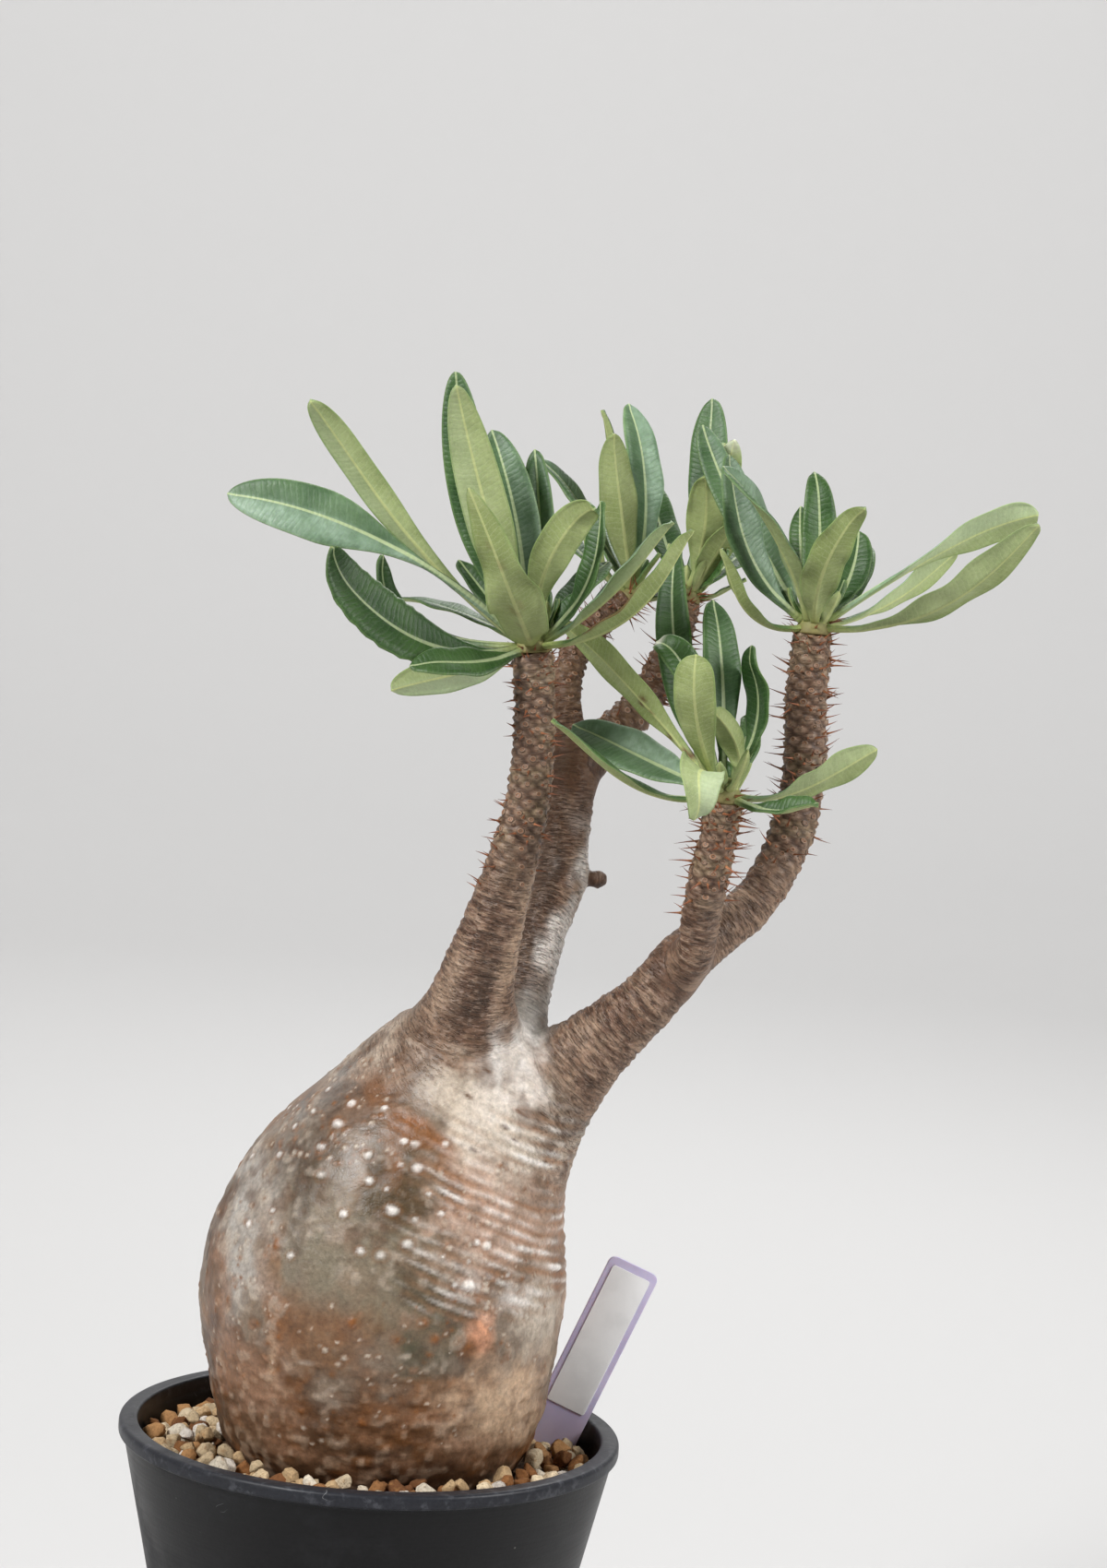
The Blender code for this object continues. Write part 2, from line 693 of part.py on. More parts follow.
# Whether a grain would touch the plant or the label where they pass through the gravel's top
def grain_is_clear(spot, reach):
    rise = GRAVEL_MOUND_LEVEL + reach
    height, left, right = min(
        evenly_through(CAUDEX_OUTLINE, 1, 2), key=lambda row: abs(row[0] * MM - rise)
    )
    from_plant = (spot - Vector(((left + right) / 2 * MM, 0, 0))).length
    if from_plant < (right - left) / 2 * MM + GAP + reach:
        return False
    drop = LABEL_TOP.z - GRAVEL_MOUND_LEVEL
    label = Vector((LABEL_TOP.x - drop * math.tan(LABEL_LEAN), LABEL_TOP.y, 0))
    half = LABEL_WIDTH / 2 / math.cos(LABEL_LEAN)
    aside = max(0, abs(spot.x - label.x) - half)
    return math.hypot(aside, spot.y - label.y) > reach + LABEL_THICKNESS / 2 + GAP


# Grains scattered over the gravel, none deeper in its neighbour than GRAIN_SPACING lets it
def grain_meshes(draw):
    placed = []
    for _ in range(GRAIN_TRIES):
        size = draw.uniform(*GRAIN_RADII)
        outer = pot_inner_radius(GRAVEL_WALL_LEVEL) - GAP - size * GRAIN_BIGGEST
        reach = outer * math.sqrt(draw.random())
        angle = draw.uniform(0, math.tau)
        spot = Vector((reach * math.cos(angle), reach * math.sin(angle), 0))
        crowded = any((spot - other).length < (size + near) * GRAIN_SPACING for other, near in placed)
        if not crowded and grain_is_clear(spot, size * GRAIN_BIGGEST):
            placed.append((spot, size))
    return [
        grain_mesh(spot + UP * (gravel_level(spot.length) + size * GRAIN_RISE), size, draw)
        for spot, size in placed
    ]


# Places a flat piece, modelled upright in XZ and centred on its top edge, on the leaning label
def on_label(obj, below_top, forward):
    lean = Quaternion((0, 1, 0), LABEL_LEAN)
    obj.rotation_mode = "QUATERNION"
    obj.rotation_quaternion = lean
    obj.location = LABEL_TOP + lean @ Vector((0, -forward, -below_top))


# An outline with rounded corners at its given radii, for a flat piece that hangs from Z = 0
def rounded_outline(corners):
    outline = []
    for number, (corner, radius) in enumerate(corners):
        corner = Vector(corner)
        before = (Vector(corners[number - 1][0]) - corner).normalized()
        after = (Vector(corners[(number + 1) % len(corners)][0]) - corner).normalized()
        if not radius:
            outline.append(corner)
            continue
        start = corner + before * radius
        end = corner + after * radius
        for step in range(CORNER_STEPS + 1):
            t = step / CORNER_STEPS
            outline.append(start * (1 - t) ** 2 + corner * 2 * t * (1 - t) + end * t**2)
    return outline


def flat_piece(name, corners, thickness, collection, material):
    curve = bpy.data.curves.new(name, "CURVE")
    curve.dimensions = "2D"
    curve.fill_mode = "BOTH"
    curve.extrude = thickness / 2
    outline = rounded_outline(corners)
    spline = curve.splines.new("POLY")
    spline.points.add(len(outline) - 1)
    for point, place in zip(spline.points, outline):
        point.co = (place.x, place.y, 0, 1)
    spline.use_cyclic_u = True
    guide = new_object(name, curve, collection)
    graph = bpy.context.evaluated_depsgraph_get()
    mesh = bpy.data.meshes.new_from_object(guide.evaluated_get(graph))
    bpy.data.objects.remove(guide)
    shape = bmesh.new()
    shape.from_mesh(mesh)
    bmesh.ops.remove_doubles(shape, verts=shape.verts, dist=0.000005)
    upright = Quaternion((1, 0, 0), math.radians(90))
    bmesh.ops.rotate(shape, verts=shape.verts, cent=(0, 0, 0), matrix=upright.to_matrix())
    shape.to_mesh(mesh)
    shape.free()
    return new_object(name, mesh, collection, material)


def make_label(collection, stake_material, sticker_material):
    half = LABEL_WIDTH / 2
    shoulder = -LABEL_LENGTH + LABEL_POINT
    stake = flat_piece(
        "label_stake",
        [
            ((-half, 0), LABEL_CORNER),
            ((-half, shoulder), 0),
            ((-half * 0.2, -LABEL_LENGTH), 0),
            ((half * 0.2, -LABEL_LENGTH), 0),
            ((half, shoulder), 0),
            ((half, 0), LABEL_CORNER),
        ],
        LABEL_THICKNESS,
        collection,
        stake_material,
    )
    on_label(stake, 0, 0)
    half = STICKER_WIDTH / 2
    sticker = flat_piece(
        "label_sticker",
        [
            ((-half, 0), STICKER_CORNER),
            ((-half, -STICKER_LENGTH), STICKER_CORNER),
            ((half, -STICKER_LENGTH), STICKER_CORNER),
            ((half, 0), STICKER_CORNER),
        ],
        STICKER_THICKNESS,
        collection,
        sticker_material,
    )
    on_label(sticker, STICKER_BELOW_TOP, LABEL_THICKNESS / 2 + GAP + STICKER_THICKNESS / 2)


# The slot that the label's buried end leaves in the gravel
def label_slot_mesh():
    shape = bmesh.new()
    bmesh.ops.create_cube(shape, size=1)
    size = Vector((LABEL_WIDTH + 2 * GAP, LABEL_THICKNESS + 2 * GAP, LABEL_LENGTH + GAP))
    bmesh.ops.scale(shape, verts=shape.verts, vec=size)
    lean = Quaternion((0, 1, 0), LABEL_LEAN)
    bmesh.ops.translate(shape, verts=shape.verts, vec=(0, 0, -size.z / 2))
    bmesh.ops.rotate(shape, verts=shape.verts, cent=(0, 0, 0), matrix=lean.to_matrix())
    bmesh.ops.translate(shape, verts=shape.verts, vec=LABEL_TOP)
    return mesh_from("slot", shape)


def make_gravel(collection, material):
    draw = random.Random(3)
    low = POT_FLOOR + GAP
    edge_level = gravel_level(pot_inner_radius(POT_HEIGHT))
    profile = [
        (0, GRAVEL_MOUND_LEVEL),
        (GRAVEL_MOUND_RADIUS, GRAVEL_MOUND_LEVEL),
        (pot_inner_radius(edge_level) - GAP, edge_level),
        (pot_inner_radius(low) - GAP, low),
        (0, low),
    ]
    gravel = turned("gravel", profile, GRAVEL_SIDES, collection, material)
    hollow = mesh_from("hollow", skin(caudex_rings(GAP, GRAVEL_MOUND_LEVEL + 20 * MM)))
    combine(gravel, [hollow, label_slot_mesh()], "DIFFERENCE")
    combine(gravel, grain_meshes(draw), "UNION")
    gravel.data.materials.clear()
    gravel.data.materials.append(material)


def main():
    clear_scene()
    parts = new_collection("potted_pachypodium")
    black_plastic = new_material("black_plastic", (0.022, 0.023, 0.026), 0.5)
    gravel_mix = new_material("gravel_mix", (0.62, 0.47, 0.31), 0.9)
    bark = new_material("bark", (0.45, 0.36, 0.29), 0.7)
    leaf_green = new_material("leaf_green", (0.17, 0.29, 0.1), 0.5)
    lavender_plastic = new_material("lavender_plastic", (0.56, 0.51, 0.7), 0.4)
    white_paper = new_material("white_paper", (0.85, 0.85, 0.86), 0.6)
    make_pot(parts, black_plastic)
    make_gravel(parts, gravel_mix)
    branch_ends = make_plant_body(parts, bark)
    for name, leaves in HEADS.items():
        make_head(name, branch_ends[name], leaves, parts, leaf_green)
    make_label(parts, lavender_plastic, white_paper)


main()
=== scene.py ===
import json
import math
import random

import bmesh
import bpy
import numpy as np
from mathutils import Matrix, Quaternion, Vector
from mathutils.bvhtree import BVHTree

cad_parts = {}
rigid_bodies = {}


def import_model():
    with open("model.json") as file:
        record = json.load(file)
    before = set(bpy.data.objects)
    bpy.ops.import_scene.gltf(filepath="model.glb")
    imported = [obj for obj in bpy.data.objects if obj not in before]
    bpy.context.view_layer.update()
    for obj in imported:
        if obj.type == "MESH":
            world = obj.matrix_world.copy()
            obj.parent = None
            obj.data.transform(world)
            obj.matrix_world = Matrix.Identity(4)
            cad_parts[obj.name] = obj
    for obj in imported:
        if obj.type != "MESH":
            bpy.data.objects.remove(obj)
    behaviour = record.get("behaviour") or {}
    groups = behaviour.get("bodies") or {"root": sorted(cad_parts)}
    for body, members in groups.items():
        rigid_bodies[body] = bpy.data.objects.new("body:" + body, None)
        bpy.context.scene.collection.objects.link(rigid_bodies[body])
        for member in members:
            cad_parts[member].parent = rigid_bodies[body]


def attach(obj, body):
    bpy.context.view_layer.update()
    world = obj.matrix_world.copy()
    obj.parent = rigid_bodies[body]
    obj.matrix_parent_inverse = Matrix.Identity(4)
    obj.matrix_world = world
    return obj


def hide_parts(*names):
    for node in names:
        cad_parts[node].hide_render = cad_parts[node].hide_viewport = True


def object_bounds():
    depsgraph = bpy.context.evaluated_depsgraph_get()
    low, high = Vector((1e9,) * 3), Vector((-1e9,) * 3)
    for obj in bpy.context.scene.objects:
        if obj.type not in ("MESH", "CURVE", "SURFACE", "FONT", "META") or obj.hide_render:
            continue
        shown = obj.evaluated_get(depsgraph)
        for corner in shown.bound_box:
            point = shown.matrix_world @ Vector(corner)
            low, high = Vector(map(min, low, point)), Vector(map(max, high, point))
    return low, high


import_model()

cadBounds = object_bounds()
mm = 0.001
goldenAngle = math.radians(137.508)

# The picture's camera. Its frame is taken to be 1200 x 1700.
cameraPlace = Vector((0.03345, -0.87589, 0.33776))
cameraRight = Vector((0.99766, 0.00627, 0.06808))
cameraUp = Vector((-0.06836, 0.09146, 0.99346))
cameraForward = Vector((0, 0.99579, -0.09168))
cameraLens = 85.447
cameraSensor = 36
frameWidth = 1200
frameHeight = 1700


# Small tools

def smoothstep(low, high, value):
    share = np.clip((value - low) / (high - low), 0, 1)
    return share * share * (3 - 2 * share)


def cellHash(x, y, z, seed):
    mixed = (x * 73856093) ^ (y * 19349663) ^ (z * 83492791) ^ (seed * 26544357)
    mixed = (mixed ^ (mixed >> 13)) * 1274126177
    mixed = mixed ^ (mixed >> 16)
    return (mixed & 0xFFFF) / 65535.0


# Smooth noise from -1 to 1 whose lumps are about `size` across
def softNoise(points, size, seed):
    place = points / size
    cell = np.floor(place).astype(np.int64)
    share = place - cell
    share = share**3 * (share * (share * 6 - 15) + 10)
    total = np.zeros(len(points))
    for dx in (0, 1):
        for dy in (0, 1):
            for dz in (0, 1):
                weight = share[:, 0] if dx else 1 - share[:, 0]
                weight = weight * (share[:, 1] if dy else 1 - share[:, 1])
                weight = weight * (share[:, 2] if dz else 1 - share[:, 2])
                total += weight * cellHash(cell[:, 0] + dx, cell[:, 1] + dy, cell[:, 2] + dz, seed)
    return total * 2 - 1


def layeredNoise(points, size, seed, layers):
    total = np.zeros(len(points))
    weight = 1
    whole = 0
    for layer in range(layers):
        total += softNoise(points, size / 2**layer, seed + layer * 7) * weight
        whole += weight
        weight *= 0.55
    return total / whole


def unit(vectors):
    return vectors / np.maximum(np.linalg.norm(vectors, axis=-1, keepdims=True), 1e-12)


def smoothThrough(points, steps):
    rows = np.array(points, float)
    ends = np.vstack([rows[0] * 2 - rows[1], rows, rows[-1] * 2 - rows[-2]])
    t = (np.arange(steps) / steps)[:, None]
    found = []
    for a, b, c, d in zip(ends[:-3], ends[1:-2], ends[2:-1], ends[3:]):
        bend = (a * 2 - b * 5 + c * 4 - d) * t**2 + (b * 3 - a - c * 3 + d) * t**3
        found.append(0.5 * (b * 2 + (c - a) * t + bend))
    return np.vstack(found + [rows[-1:]])


# The smooth curve at even steps, measured along its first `measured` numbers
def evenlyThrough(points, spacing, measured):
    fine = smoothThrough(points, 24)
    steps = np.linalg.norm(np.diff(fine[:, :measured], axis=0), axis=1)
    lengths = np.concatenate([[0], np.cumsum(steps)])
    wanted = np.linspace(0, lengths[-1], max(2, round(lengths[-1] / spacing)) + 1)
    rows = [np.interp(wanted, lengths, fine[:, i]) for i in range(fine.shape[1])]
    return np.column_stack(rows), wanted


# Quads between rings of equal count, with a flat cap at each end
def loftFaces(rows, sides, start=0):
    faces = []
    for row in range(rows - 1):
        for side in range(sides):
            here = start + row * sides + side
            there = start + row * sides + (side + 1) % sides
            faces.append((here, there, there + sides, here + sides))
    faces.append(tuple(range(start + sides - 1, start - 1, -1)))
    faces.append(tuple(range(start + (rows - 1) * sides, start + rows * sides)))
    return faces


def meshFrom(name, points, faces):
    mesh = bpy.data.meshes.new(name)
    mesh.from_pydata(points.tolist(), [], faces if isinstance(faces, list) else faces.tolist())
    mesh.shade_smooth()
    mesh.update()
    return mesh


def addColour(mesh, name, values):
    layer = mesh.attributes.new(name, "FLOAT_COLOR", "POINT")
    rows = np.ones((len(values), 4), np.float32)
    rows[:, : values.shape[1]] = values
    layer.data.foreach_set("color", rows.ravel())


def addVector(mesh, name, values):
    layer = mesh.attributes.new(name, "FLOAT_VECTOR", "POINT")
    layer.data.foreach_set("vector", np.asarray(values, np.float32).ravel())


def newObject(name, data):
    obj = bpy.data.objects.new(name, data)
    bpy.context.scene.collection.objects.link(obj)
    return obj


def setMaterial(mesh, material):
    mesh.materials.clear()
    mesh.materials.append(material)


def addPiece(name, mesh, material, nodes):
    obj = newObject(name, mesh)
    setMaterial(mesh, material)
    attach(obj, "root")
    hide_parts(*nodes)


# The mesh that the object's modifiers give; the object itself goes
def evaluatedMesh(obj):
    graph = bpy.context.evaluated_depsgraph_get()
    mesh = bpy.data.meshes.new_from_object(obj.evaluated_get(graph))
    bpy.data.objects.remove(obj)
    return mesh


# A profile of (radius, height) in mm, turned round the upright axis
def turnedMesh(name, profile, sides):
    points = [(radius * mm, 0, height * mm) for radius, height in profile]
    mesh = bpy.data.meshes.new(name)
    mesh.from_pydata(points, [(i, i + 1) for i in range(len(points) - 1)], [])
    obj = newObject(name, mesh)
    screw = obj.modifiers.new("Turn", "SCREW")
    screw.steps = sides
    screw.render_steps = sides
    screw.use_merge_vertices = True
    screw.merge_threshold = 0.02 * mm
    turned = evaluatedMesh(obj)
    shape = bmesh.new()
    shape.from_mesh(turned)
    bmesh.ops.recalc_face_normals(shape, faces=shape.faces)
    shape.to_mesh(turned)
    shape.free()
    turned.shade_smooth()
    return turned


# Shader tools

class Shader:
    def __init__(self, name):
        self.material = bpy.data.materials.new(name)
        self.material.use_nodes = True
        self.tree = self.material.node_tree
        self.surface = self.tree.nodes["Principled BSDF"]

    def make(self, kind, inputs=None, **settings):
        node = self.tree.nodes.new(kind)
        for key, value in settings.items():
            setattr(node, key, value)
        for key, value in (inputs or {}).items():
            if isinstance(value, bpy.types.NodeSocket):
                self.tree.links.new(value, node.inputs[key])
            else:
                node.inputs[key].default_value = value
        return node

    def set(self, values):
        for key, value in values.items():
            self.surface.inputs[key].default_value = value

    def math(self, operation, a, b=0.0, c=0.0):
        return self.make("ShaderNodeMath", {0: a, 1: b, 2: c}, operation=operation).outputs[0]

    def times(self, a, b):
        return self.math("MULTIPLY", a, b)

    def vector(self, operation, a, b):
        return self.make("ShaderNodeVectorMath", {0: a, 1: b}, operation=operation).outputs[0]

    def ramp(self, value, low, high, toLow=0.0, toHigh=1.0):
        inputs = {0: value, 1: low, 2: high, 3: toLow, 4: toHigh}
        return self.make("ShaderNodeMapRange", inputs, interpolation_type="SMOOTHSTEP").outputs[0]

    def mix(self, factor, a, b, blend="MIX"):
        a = (*a, 1) if isinstance(a, tuple) and len(a) == 3 else a
        b = (*b, 1) if isinstance(b, tuple) and len(b) == 3 else b
        node = self.make("ShaderNodeMix", {0: factor, 6: a, 7: b}, data_type="RGBA", blend_type=blend)
        return node.outputs[2]

    # The colour with a tint laid over it where the mask is, by `strength` at most
    def over(self, colour, mask, strength, tint):
        return self.mix(self.times(mask, strength), colour, tint)

    def noise(self, place, scale, detail=2.0, roughness=0.5):
        inputs = {"Vector": place, "Scale": scale, "Detail": detail, "Roughness": roughness}
        return self.make("ShaderNodeTexNoise", inputs).outputs[0]

    def voronoi(self, place, scale, feature="F1"):
        node = self.make("ShaderNodeTexVoronoi", {"Vector": place, "Scale": scale}, feature=feature)
        return node.outputs["Distance"]

    def attribute(self, name):
        return self.make("ShaderNodeAttribute", attribute_name=name)

    def parts(self, colour):
        return self.make("ShaderNodeSeparateColor", {0: colour}).outputs

    def objectPlace(self):
        return self.make("ShaderNodeTexCoord").outputs["Object"]

    def bump(self, height, strength, distance, normal=None):
        inputs = {"Height": height, "Strength": strength, "Distance": distance}
        if normal:
            inputs["Normal"] = normal
        return self.make("ShaderNodeBump", inputs).outputs[0]

    # The shared speckle group: a colour made lighter and darker by fine noise, and that noise
    def speckle(self, colour, place, scale, strength):
        colour = (*colour, 1) if isinstance(colour, tuple) else colour
        inputs = {"Color": colour, "Vector": place, "Scale": scale, "Strength": strength}
        outputs = self.make("ShaderNodeGroup", inputs, node_tree=speckleGroup).outputs
        return outputs["Color"], outputs["Grain"]

    def connect(self, colour, normal, roughness=None):
        self.tree.links.new(colour, self.surface.inputs["Base Color"])
        self.tree.links.new(normal, self.surface.inputs["Normal"])
        if roughness:
            self.tree.links.new(roughness, self.surface.inputs["Roughness"])


def makeSpeckleGroup():
    tree = bpy.data.node_groups.new("speckle", "ShaderNodeTree")
    for name, kind in (("Color", "Color"), ("Vector", "Vector"), ("Scale", "Float"), ("Strength", "Float")):
        tree.interface.new_socket(name=name, in_out="INPUT", socket_type="NodeSocket" + kind)
    tree.interface.new_socket(name="Color", in_out="OUTPUT", socket_type="NodeSocketColor")
    tree.interface.new_socket(name="Grain", in_out="OUTPUT", socket_type="NodeSocketFloat")
    source = tree.nodes.new("NodeGroupInput")
    result = tree.nodes.new("NodeGroupOutput")
    noise = tree.nodes.new("ShaderNodeTexNoise")
    noise.inputs["Detail"].default_value = 4
    noise.inputs["Roughness"].default_value = 0.64
    middle = tree.nodes.new("ShaderNodeMath")
    middle.operation = "SUBTRACT"
    middle.inputs[1].default_value = 0.5
    tone = tree.nodes.new("ShaderNodeMath")
    tone.operation = "MULTIPLY_ADD"
    tone.inputs[2].default_value = 1
    scaled = tree.nodes.new("ShaderNodeVectorMath")
    scaled.operation = "SCALE"
    link = tree.links.new
    link(source.outputs["Vector"], noise.inputs["Vector"])
    link(source.outputs["Scale"], noise.inputs["Scale"])
    link(noise.outputs[0], middle.inputs[0])
    link(middle.outputs[0], tone.inputs[0])
    link(source.outputs["Strength"], tone.inputs[1])
    link(source.outputs["Color"], scaled.inputs[0])
    link(tone.outputs[0], scaled.inputs["Scale"])
    link(scaled.outputs[0], result.inputs["Color"])
    link(noise.outputs[0], result.inputs["Grain"])
    return tree


# Camera, light and floor

def makeCamera():
    data = bpy.data.cameras.new("camera")
    data.sensor_width = cameraSensor
    data.sensor_fit = "AUTO"
    data.lens = cameraLens
    data.clip_start = 0.01
    data.clip_end = 50
    camera = newObject("camera", data)
    matrix = Matrix((cameraRight, cameraUp, -cameraForward)).transposed().to_4x4()
    matrix.translation = cameraPlace
    camera.matrix_world = matrix
    bpy.context.scene.camera = camera


studio = {
    "keyPlace": (-0.62, -0.62, 0.95),
    "keySize": 0.42,
    "keyPower": 15.5,
    "fillPlace": (0.85, -0.4, 0.7),
    "fillSize": 0.45,
    "fillPower": 8,
    "backPlace": (0.2, 0.8, 1.0),
    "backSize": 0.6,
    "backPower": 5,
    "skyColour": (0.86, 0.89, 0.94),
    "skyStrength": 0.1,
    "floorColour": (0.58, 0.575, 0.57),
    "floorRadius": 1500,  # the floor's and the wall's sizes are in mm, the lights' in metres
    "floorSides": 96,
    "bendSteps": 12,
    "wallRadius": 2300,
    "wallHeight": 2400,
    "target": (0.03, 0, 0.2),
    "wallPlace": (0, 0.9, 1.9),
    "wallSize": 1.2,
    "wallPower": 32,
    "wallTarget": (0, 2.3, 1.1),
}


def makeAreaLight(name, place, size, power, target):
    data = bpy.data.lights.new(name, "AREA")
    data.shape = "DISK"
    data.size = size
    data.energy = power
    light = newObject(name, data)
    light.location = place
    aim = Vector(target) - Vector(place)
    light.rotation_euler = aim.to_track_quat("-Z", "Y").to_euler()


def makeStudio():
    for name in ("key", "fill", "back", "wall"):
        target = studio["wallTarget" if name == "wall" else "target"]
        makeAreaLight(name, studio[name + "Place"], studio[name + "Size"], studio[name + "Power"], target)
    world = bpy.data.worlds.new("studio")
    bpy.context.scene.world = world
    world.use_nodes = True
    background = world.node_tree.nodes["Background"]
    background.inputs[0].default_value = (*studio["skyColour"], 1)
    background.inputs[1].default_value = studio["skyStrength"]
    # The floor curves up into a round wall
    radius, steps = studio["floorRadius"], studio["bendSteps"]
    profile = [(0, 0), (radius * 0.27, 0), (radius * 0.6, 0), (radius, 0)]
    bend = studio["wallRadius"] - radius
    for step in range(1, steps + 1):
        angle = math.pi / 2 * step / steps
        profile.append((radius + bend * math.sin(angle), bend * (1 - math.cos(angle))))
    profile.append((studio["wallRadius"], studio["wallHeight"]))
    mesh = turnedMesh("floor", profile, studio["floorSides"])
    shader = Shader("floor")
    shader.set({"Base Color": (*studio["floorColour"], 1), "Roughness": 0.85, "Specular IOR Level": 0.2})
    setMaterial(mesh, shader.material)
    newObject("floor", mesh)


# The plant's body

caudexOutline = [
    (40, -3, 3), (55, -9, 9.5), (70, -19, 21), (82, -25, 27.5), (91, -31.5, 34.5), (98, -35.6, 38.2),
    (107, -38.2, 41.2), (118, -40.7, 43), (130, -42.9, 44.1), (143, -41.8, 43.8), (155, -37.6, 43.2),
    (166, -31.6, 42.6), (176, -23.6, 41.6), (185, -14, 39.5), (192, -5.5, 35.5), (198, 2, 29),
]
caudexDepth = 0.97
caudexLeanBack = 3

branches = {
    "front_left": [
        (12, 4, 180, 17), (15.5, -1, 191, 14.6), (17, -5.5, 200.5, 11.8), (18.4, -8.2, 210, 9.2),
        (20.8, -10, 221, 7.5), (24, -11.5, 234.5, 6.2), (27, -12.5, 249, 5.2), (28.2, -13.2, 262, 4.7),
        (27.9, -14, 276, 4.7), (26.7, -14, 288.5, 4.6),
    ],
    "back": [
        (22, 5, 184, 10), (27, 10, 194, 7.6), (30, 18, 205, 6.2), (33, 28, 219, 6.2),
        (36.4, 34, 230, 6.4), (37.2, 37.5, 243, 6), (38.1, 40, 258, 5.8),
    ],
    "back_left": [
        (38.1, 39.6, 255, 5), (36.4, 41, 267, 4), (34.9, 43, 277, 3.6), (36.6, 45, 286, 3.5),
        (42, 46.8, 293.5, 3.4), (48.6, 48, 299.4, 3.3),
    ],
    "back_right": [
        (38.1, 39.6, 255, 5), (45.2, 43, 265.5, 4.5), (52.8, 46, 272.5, 4.5), (57.3, 48, 280.5, 4.3),
        (60.6, 49, 289, 3.9), (63.3, 50, 300.1, 3.4),
    ],
    "right": [
        (24, 2, 172, 16), (35, 0.5, 182, 13), (43.5, -0.5, 191.2, 10.2), (51, -1.2, 199, 8.2),
        (59.2, -2, 207.4, 7), (66.2, -1, 217, 6.6), (74.1, 1, 223.9, 5.9), (81.9, 4, 230.7, 5.4),
        (87.6, 7, 239.5, 5.2), (91.6, 9.5, 251, 5.1), (93.1, 11, 265, 4.9), (92.3, 12, 280, 4.8),
        (92.7, 12, 296, 4.4),
    ],
    "front_right": [
        (65, -2, 213, 4.8), (69.3, -8.5, 221, 4.6), (70, -12, 229.5, 4.5), (70.9, -15.4, 238.5, 4.5),
        (72.2, -18.2, 248, 4.2), (73, -20, 257.8, 4.1),
    ],
    "old_stub": [(38, 35, 231, 3), (43, 35.7, 231, 1.9), (46.4, 36, 231, 2.5), (48.2, 36.2, 231, 1.4)],
    "old_scar": [(40, 38.5, 258.8, 3.4), (44, 38.8, 258.8, 2.6), (46, 39, 258.7, 1.5)],
}

# Where each stem turns from wrinkled to knobbly, as shares of its length, and its spines' length
# in mm and how many of its knobs carry a pair
stemHabit = {
    "front_left": {"knobs": (0.48, 0.64), "spines": (2.2, 4.0), "share": 0.4, "full": 0.5},
    "back": {"knobs": (2, 3), "spines": (0, 0), "share": 0, "full": 0},
    "back_left": {"knobs": (0.2, 0.5), "spines": (3.4, 5.4), "share": 0.4, "full": 0.65},
    "back_right": {"knobs": (0.1, 0.4), "spines": (3.4, 5.4), "share": 0.35, "full": 0.65},
    "right": {"knobs": (0.54, 0.68), "spines": (3.0, 5.2), "share": 0.56, "full": 0.7},
    "front_right": {"knobs": (0.45, 0.62), "spines": (3.6, 6.0), "share": 0.4, "full": 0.85},
    "old_stub": {"knobs": (2, 3), "spines": (0, 0), "share": 0, "full": 0},
    "old_scar": {"knobs": (2, 3), "spines": (0, 0), "share": 0, "full": 0},
}

bodyLook = {
    "baseVoxel": 0.62,
    "stemVoxel": 0.45,
    "baseSides": 96,
    "stemSides": 28,
    "backPatches": 60,
    "backPores": 170,
    "scarStep": 0.31,
    "scarWidth": 1.85,
    "scarHeight": 1.05,
    "knobRise": 0.42,
    "dashRise": 0.15,
    "ringRise": 0.34,
    "flankPitch": 3.0,
    "flankRise": 0.21,
    # In metres: the stems' rings, and the heights from which the base's and the stems' skins are kept
    "ringPitch": 0.0021,
    "baseFrom": 0.08,
    "stemsFrom": 0.174,
    # How much of a face may belong to a stem in the base's skin, and must in the stems'
    "baseLimit": 0.56,
    "stemLimit": 0.5,
    "seed": 11,
}

barkColours = {
    "skin": (0.2, 0.145, 0.1),
    # This pale bluish grey is the skin's bloom, and it is also laid on as painted sheen and painted
    # highlights
    "bloomAndSheen": (0.35, 0.32, 0.285),
    "window": (0.18, 0.148, 0.1),
    "greyDark": (0.066, 0.04, 0.026),
    # The orange and the olive are darker than the skin's own colours: painted shade for the upper middle
    "orange": (0.2, 0.066, 0.01),
    "rust": (0.18, 0.068, 0.018),
    "olive": (0.055, 0.031, 0.008),
    "darkGreen": (0.07, 0.06, 0.032),
    "red": (0.74, 0.35, 0.2),
    "sand": (0.54, 0.37, 0.24),
    "pink": (0.5, 0.34, 0.255),
    "pale": (0.5, 0.42, 0.335),
    "white": (0.77, 0.72, 0.67),
    "tan": (0.27, 0.125, 0.052),
    "brown": (0.083, 0.036, 0.013),
    # Painted shade: the dark brown laid at the foot, where the base meets the gravel
    "paintedShadeBrown": (0.036, 0.012, 0.003),
    "rose": (0.26, 0.14, 0.08),
    "yellow": (0.42, 0.29, 0.14),
    "stem": (0.12, 0.06, 0.034),
    "stemPale": (0.385, 0.262, 0.177),
    "stemDark": (0.042, 0.019, 0.008),
    "stemGrey": (0.22, 0.165, 0.09),
}

# Marks read off a 1.983 times enlargement of the picture, whose corner is at (205, 1060): patches
# as (x, y, half width, half height, tilt, colour, strength), and pale raised pores as (x, y, radius)
markScale = 1.983
markCorner = (205, 1060)
# The size in metres, at the base's front, of one unit of the marks' half widths and radii
markSize = 0.0001087
